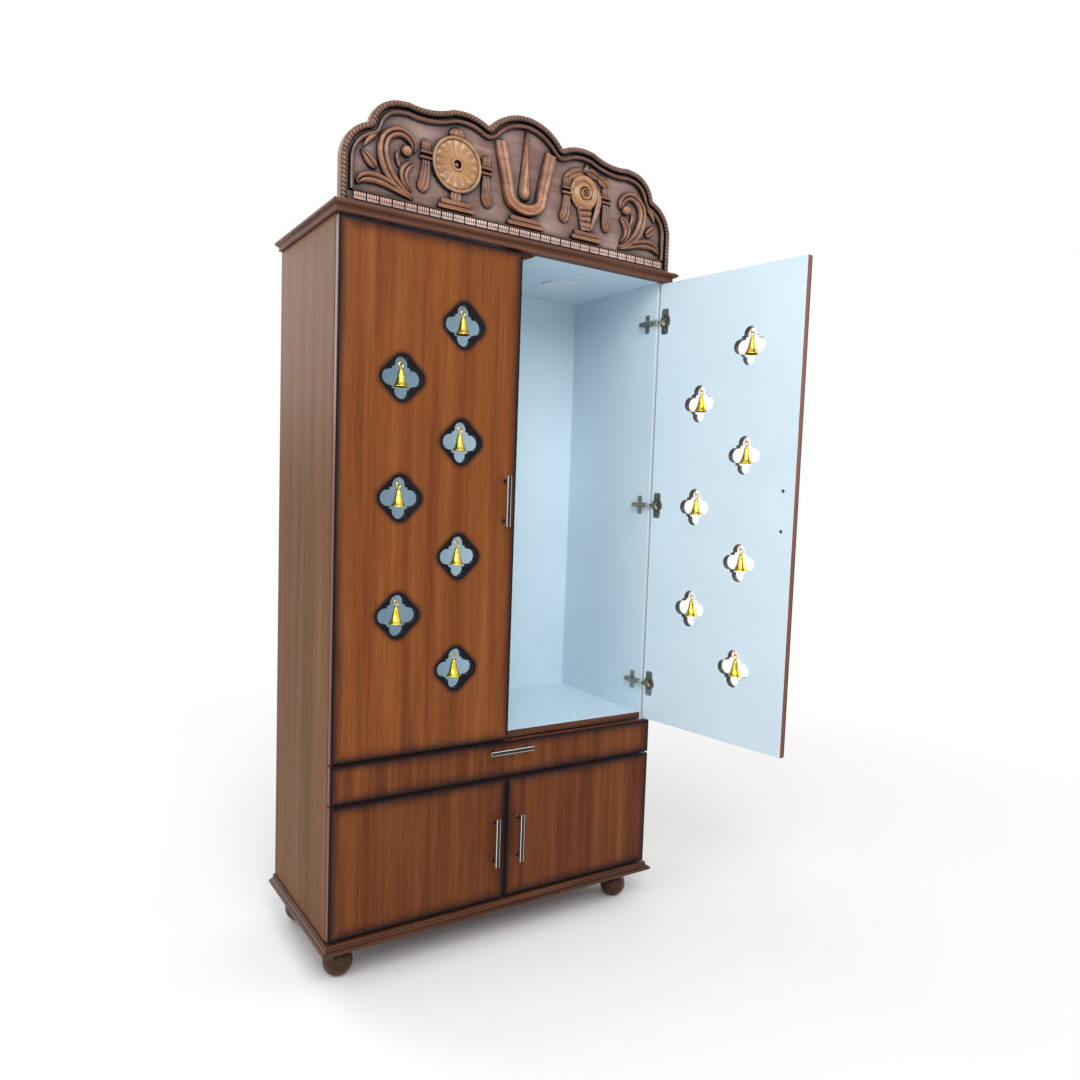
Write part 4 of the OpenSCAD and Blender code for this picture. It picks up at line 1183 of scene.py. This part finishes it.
def stroke(bm, points, section, side=1, centre=(0, 0), blunt=(False, False), across=14, step=1.6):
    """A carved stroke through (x, z, half width, height) points, with round ends unless blunt."""
    path = smooth_path(points, step)
    travelled = [0.0]
    for a, b in zip(path, path[1:]):
        travelled.append(travelled[-1] + math.dist(a[:2], b[:2]))
    rings = []
    for k, (x, z, half, height) in enumerate(path):
        before, after = path[max(k - 1, 0)], path[min(k + 1, len(path) - 1)]
        along = Vector((after[0] - before[0], after[1] - before[1])).normalized()
        ends = ((travelled[k], blunt[0]), (travelled[-1] - travelled[k], blunt[1]))
        gone = min([1] + [length / half for length, cut in ends if not cut])
        narrow = max(math.sqrt(max(1 - (1 - gone) ** 2, 0)), 0.04)
        ring = []
        for j in range(across + 1):
            u = math.sin(math.pi * (j / across - 0.5))
            ring.append(relief_point(centre[0] + side * (x - along.y * half * narrow * u),
                                     centre[1] + z + along.x * half * narrow * u,
                                     height * narrow * section(u)))
        rings.append(ring)
    rows = loft(bm, rings, closed=False)
    for row, cut in ((rows[0], blunt[0]), (rows[-1], blunt[1])):
        if cut:
            bm.faces.new(row)


def disc(bm, centre, radius, height, rings=24, count=120):
    """A round relief whose height is given over its radius and angle."""
    rows = []
    for k in range(rings + 2):
        r = radius * (min(k, rings) + 0.02) / (rings + 0.02)
        around = circle(centre, r, count)
        rows.append([relief_point(x, z, height(r, 2 * math.pi * j / count) if k <= rings else 0)
                     for j, (x, z) in enumerate(around)])
    bm.faces.new(loft(bm, rows)[0])


def plinth(bm, x, z, wide, high, step):
    """A foot of two steps under an emblem, with a narrow neck between them."""
    for inset, zs, out, ease in ((0, (z, z + high - 1.4), 11, 1.6),
                                 (step, (z + high, z + 2 * high), 9, 1.6),
                                 (step + 3, (z + high - 2, z + high + 1), 5, 0.5)):
        block(bm, (x - wide / 2 + inset, x + wide / 2 - inset), zs, out, ease)


def ribbon(bm, centre, out, side, tail_low):
    """A tied ribbon beside an emblem, out from its centre: a fluted flap, two ties and a fluted tail
    that widens down to tail_low."""
    middle = out + 13
    flap = [(middle, 20, 13, 6), (middle + 1, 32, 13, 8), (middle + 1, 46, 11, 6)]
    tail = [(middle, -2, 10.5, 7), (middle + 1, -25, 12.5, 8.5), (middle + 5, -50, 14.5, 9),
            (middle + 13, tail_low, 14, 8)]
    for points in (flap, tail):
        stroke(bm, points, twice_fluted, side, centre, blunt=(True, False))
    for z in (4, 15.5):
        tie = [(out - 2, z, 4.4, 7), (out + 28, z, 4.4, 7)]
        stroke(bm, tie, dome, side, centre, blunt=(True, True))


WHEEL, WHEEL_R = (-180, 134), 61
CONCH = (170, 149)


def wheel_height(r, a):
    """A rolled rim, a dish of petals with a bead on each, a rolled ring round the hub and a domed eye."""
    rim_r, rim_w, hub_r, eye_r, petals = WHEEL_R, 7.5, 15, 8.5, 16
    if r > rim_r - rim_w:
        return 5.4 + 2.8 * math.sqrt(max(1 - ((r - rim_r + 3.6) / 3.8) ** 2, 0))
    if r > hub_r:
        part = (r - hub_r) / (rim_r - rim_w - hub_r)
        petal = abs(math.cos(petals / 2 * a)) ** 0.5 * math.sqrt(1 - abs(2 * part - 1) ** 8)
        bead = math.exp(-((part - 0.8) / 0.13) ** 2) * abs(math.cos(petals / 2 * a)) ** 3
        return 5.0 + 1.4 * (1 - part) + (0.3 + 1.1 * part) * petal + 1.3 * bead
    if r > eye_r:
        return 5.6 + 3 * math.sqrt(max(1 - ((r - 11.8) / 3.4) ** 2, 0))
    return 2.4 + 2.6 * (1 - (r / eye_r) ** 2)


def make_wheel():
    """The wheel emblem: a dished disc with sixteen petals round its hub, on a stem between ribbons."""
    bm = bmesh.new()
    disc(bm, WHEEL, WHEEL_R, wheel_height, rings=60, count=224)
    for face in bm.faces:
        face.material_index = 1
    plinth(bm, x=WHEEL[0], z=33, wide=88, high=11, step=7)
    stem = [(0, -80, 12, 7), (0, -70, 15, 7), (0, -56, 12, 7)]
    stroke(bm, stem, twice_fluted, centre=WHEEL, blunt=(True, True))
    knob = [(-1, 56, 15, 6), (-1, 66, 21, 8.5), (-1, 76, 16, 8), (-1, 84, 4, 3)]
    stroke(bm, knob, twice_fluted, centre=WHEEL, blunt=(True, False))
    for side in (-1, 1):
        ribbon(bm, (WHEEL[0], WHEEL[1] - 6), WHEEL_R, side, tail_low=-70)
    relief_piece(bm, "carved_wheel", "crest_wheel")


CROWN_R, COIL = 44, 0.45


def crown_height(r, a):
    """The coiled crown of the conch, whose groove closes in by COIL a turn."""
    turns = math.log(max(r, 1.5) / CROWN_R) / math.log(COIL) + a / (2 * math.pi) + 0.1
    edge = math.sqrt(max(1 - (r / CROWN_R) ** 8, 0))
    return (5.2 + 1.4 * (1 - r / CROWN_R) + 3.4 * abs(math.sin(math.pi * turns)) ** 0.8) * edge


def conch_body(bm):
    """The ribbed body under the crown, which narrows and leans to the right on its way down."""
    long, ribs, rows, across = 76, 5.5, 60, 16
    rings = []
    for k in range(rows + 1):
        part = k / rows
        half = 28 - 13 * part ** 0.8
        swell = 1 + 0.7 * abs(math.sin(math.pi * ribs * part)) ** 0.5
        ring = []
        for j in range(across + 1):
            u = math.sin(math.pi * (j / across - 0.5))
            ring.append(relief_point(CONCH[0] + 2 + half * u + 6 * part,
                                     CONCH[1] - 14 - long * part + 6 * u * (1 - part),
                                     5.4 * swell * dome(u)))
        rings.append(ring)
    loft(bm, rings, closed=False)


def conch_wings(bm):
    """The lip down the right side, three wings over the crown and a point on top."""
    lip = [(38, 20, 6, 7), (44, -4, 9, 8.5), (39, -34, 10, 9), (30, -62, 8, 8), (21, -88, 5, 6)]
    stroke(bm, lip, dome, centre=CONCH)
    for a, b in (((-58, 22), (-4, 52)), ((4, 52), (42, 44)), ((38, 46), (74, 26))):
        wing = [(*a, 10, 5), ((a[0] + b[0]) / 2, (a[1] + b[1]) / 2 + 4, 14, 6), (*b, 10, 5)]
        stroke(bm, wing, fluted, centre=CONCH)
    stroke(bm, [(4, 46, 14, 5), (5, 60, 10, 7), (5, 75, 2, 3)], ridged, centre=CONCH)


def make_conch():
    """The conch emblem: a coiled crown over a ribbed body, with wings above and ribbons beside."""
    bm = bmesh.new()
    disc(bm, CONCH, CROWN_R, crown_height, rings=60, count=160)
    for face in bm.faces:
        face.material_index = 1
    conch_body(bm)
    conch_wings(bm)
    plinth(bm, x=179, z=35, wide=86, high=11, step=8)
    for side, out in ((-1, 38), (1, 52)):
        ribbon(bm, (CONCH[0], CONCH[1] - 14), out, side, tail_low=-66)
    relief_piece(bm, "carved_conch", "crest_conch")


def make_centre_mark():
    """The centre mark: a U with a flame-shaped stroke standing in it."""
    arm = [(-69, 214, 17, 8), (-59, 170, 17, 9), (-48, 124, 16.5, 9.5)]
    bend = [(46 * math.cos(a), 108 + 36 * math.sin(a), 15.5, 10)
            for a in (math.radians(degrees) for degrees in (205, 235, 270, 305, 335))]
    other = [(-x, *rest) for x, *rest in reversed(arm)]
    bm = bmesh.new()
    stroke(bm, arm + bend + other, flat_topped, blunt=(True, True), across=18)
    flame = [(0, 91, 16, 9), (0, 112, 19, 11), (0, 150, 15, 11), (0, 200, 9, 9.5), (0, 254, 3, 6)]
    stroke(bm, flame, ridged, across=16)
    plinth(bm, x=3, z=33, wide=98, high=11, step=8)
    relief_piece(bm, "carved_centre_mark", "crest_centre_mark")


# The right-hand scrollwork as strokes of (x, z, half width, height) points: the stem, the low leaf,
# the dart outside the stem, the thin leaf over it, the leaf inside the stem and a tendril
SCROLL = [
    ([(286, 39, 6, 5), (312, 54, 11, 7), (336, 76, 14, 8.5), (350, 101, 15, 9.5), (355, 127, 14, 10),
      (350, 150, 13, 10), (335, 165, 12, 10), (314, 171, 11.5, 9.5), (296, 164, 10.5, 9), (285, 149, 9, 8.5),
      (286, 134, 6, 7)], fluted),
    ([(282, 37, 4, 4), (310, 47, 9, 7), (342, 58, 12, 8.5), (372, 63, 13.5, 9), (394, 60, 12, 9),
      (407, 51, 8, 8), (410, 41, 4, 6)], fluted),
    ([(368, 82, 8, 6), (380, 94, 12, 8), (392, 105, 9, 7), (404, 116, 2, 3)], fluted),
    ([(398, 121, 2, 3), (390, 135, 6, 6), (377, 149, 7, 6.5), (362, 161, 3, 4)], dome),
    ([(284, 114, 5, 5), (296, 106, 10, 8), (306, 91, 12, 9), (306, 74, 10, 8.5), (297, 61, 7, 7),
      (286, 52, 4, 5)], fluted),
    ([(321, 131, 4, 4), (322, 118, 6, 6), (318, 104, 5, 5), (310, 94, 2, 3)], dome),
]
BUD = (301, 135, 13.5)  # x, z and radius


def bud_height(r, a):
    return 10.5 * math.sqrt(max(1 - (r / BUD[2]) ** 2, 0)) ** 0.8


def make_scrolls():
    """Scrollwork at both ends: a stem that curls over into a bud, a low leaf and a dart."""
    bm = bmesh.new()
    for side in (-1, 1):
        for points, section in SCROLL:
            stroke(bm, points, section, side)
        disc(bm, (side * BUD[0], BUD[1]), BUD[2], bud_height, rings=10, count=40)
    relief_piece(bm, "carved_scrolls", "crest_scrolls")


# Floor, light and background

WORLD_LIGHT = 0.55
# Name, place, side in metres and watts
LAMPS = [("key_lamp", (-1000, -3000, 3200), 2.2, 95), ("side_lamp", (-3400, -900, 2200), 2.2, 28),
         ("right_lamp", (3200, -1500, 2200), 2.2, 20), ("rear_lamp", (-1200, 3000, 2600), 2.4, 45)]


def seen_share(tree):
    """1 for rays that show the background, straight or in metal and glass, and 0 for light."""
    rays = ("Is Camera Ray", "Is Glossy Ray", "Is Transmission Ray")
    seen, glossy, through = add(tree, "LightPath", out=rays)
    return add(tree, "Math MAXIMUM", seen, add(tree, "Math MAXIMUM", glossy, through))


def fade_to_white(tree, shader):
    """Far from the cabinet the floor turns into the white background, so that no horizon shows."""
    near, far = 1.0, 2.8
    place = add(tree, "TexCoord", out="Object")
    off = add(tree, "VectorMath DISTANCE", place, tuple(MIDDLE), out="Value")
    share = add(tree, "Math MULTIPLY", add(tree, "MapRange", off, near, far, 0.0, 1.0), seen_share(tree))
    white = add(tree, "Emission", {"Color": (1, 1, 1, 1), "Strength": 1.0})
    both = add(tree, "MixShader", share, shader.outputs[0], white)
    link(tree, both, tree.nodes["Material Output"], "Surface")


def make_world():
    world = bpy.data.worlds.new("white_studio")
    bpy.context.scene.world = world
    world.use_nodes = True
    tree = world.node_tree
    background = tree.nodes["Background"]
    background.inputs["Color"].default_value = (1, 1, 1, 1)
    strength = add(tree, "MapRange", seen_share(tree), 0.0, 1.0, WORLD_LIGHT, 1.0)
    link(tree, strength, background, "Strength")


def make_floor():
    """Matt white studio paper, with fibres just fine enough to break up its sheen."""
    reach = 14
    mesh = bpy.data.meshes.new("studio_floor")
    mesh.from_pydata([(-reach, -reach, 0), (reach, -reach, 0), (reach, reach, 0), (-reach, reach, 0)],
                     [], [(0, 1, 2, 3)])
    floor = bpy.data.objects.new("studio_floor", mesh)
    bpy.context.scene.collection.objects.link(floor)
    paper, tree, shader = new_material("matt_white_studio_paper")
    fibres = noise(tree, add(tree, "TexCoord", out="Object"), (300, 300, 300), detail=2.0)
    white = add(tree, "ValToRGB", fibres, stops=[(0.3, "#f7f7f7"), (0.7, "#fafafa")])
    link(tree, white, shader, "Base Color")
    shader.inputs["Roughness"].default_value = 0.95
    fade_to_white(tree, shader)
    mesh.materials.append(paper)


def make_lamps():
    aim_z = 1100
    for name, place, side, watts in LAMPS:
        data = bpy.data.lights.new(name, "AREA")
        data.energy = watts
        data.size = side
        lamp = bpy.data.objects.new(name, data)
        bpy.context.scene.collection.objects.link(lamp)
        lamp.location = TO_FRAME @ Vector(place)
        aim = TO_FRAME @ Vector((0, 0, aim_z)) - lamp.location
        lamp.rotation_euler = aim.to_track_quat("-Z", "Y").to_euler()


make_camera()
make_world()
make_floor()
make_lamps()
make_carcass()
make_door_stop()
moulded_board("cornice_board", "cornice", upside_down=False, wood=CORNICE_TEAK)
moulded_board("base_board", "base", upside_down=True, wood=TRIM_TEAK)
make_feet()
make_ceiling_lights()
make_doors()
make_bells()
make_handles()
make_hinges()
make_drawer()
make_drawer_slides()
make_crest_board()
make_crest_rim()
make_bead_border()
make_wheel()
make_centre_mark()
make_conch()
make_scrolls()
bpy.context.scene.view_settings.view_transform = "Standard"
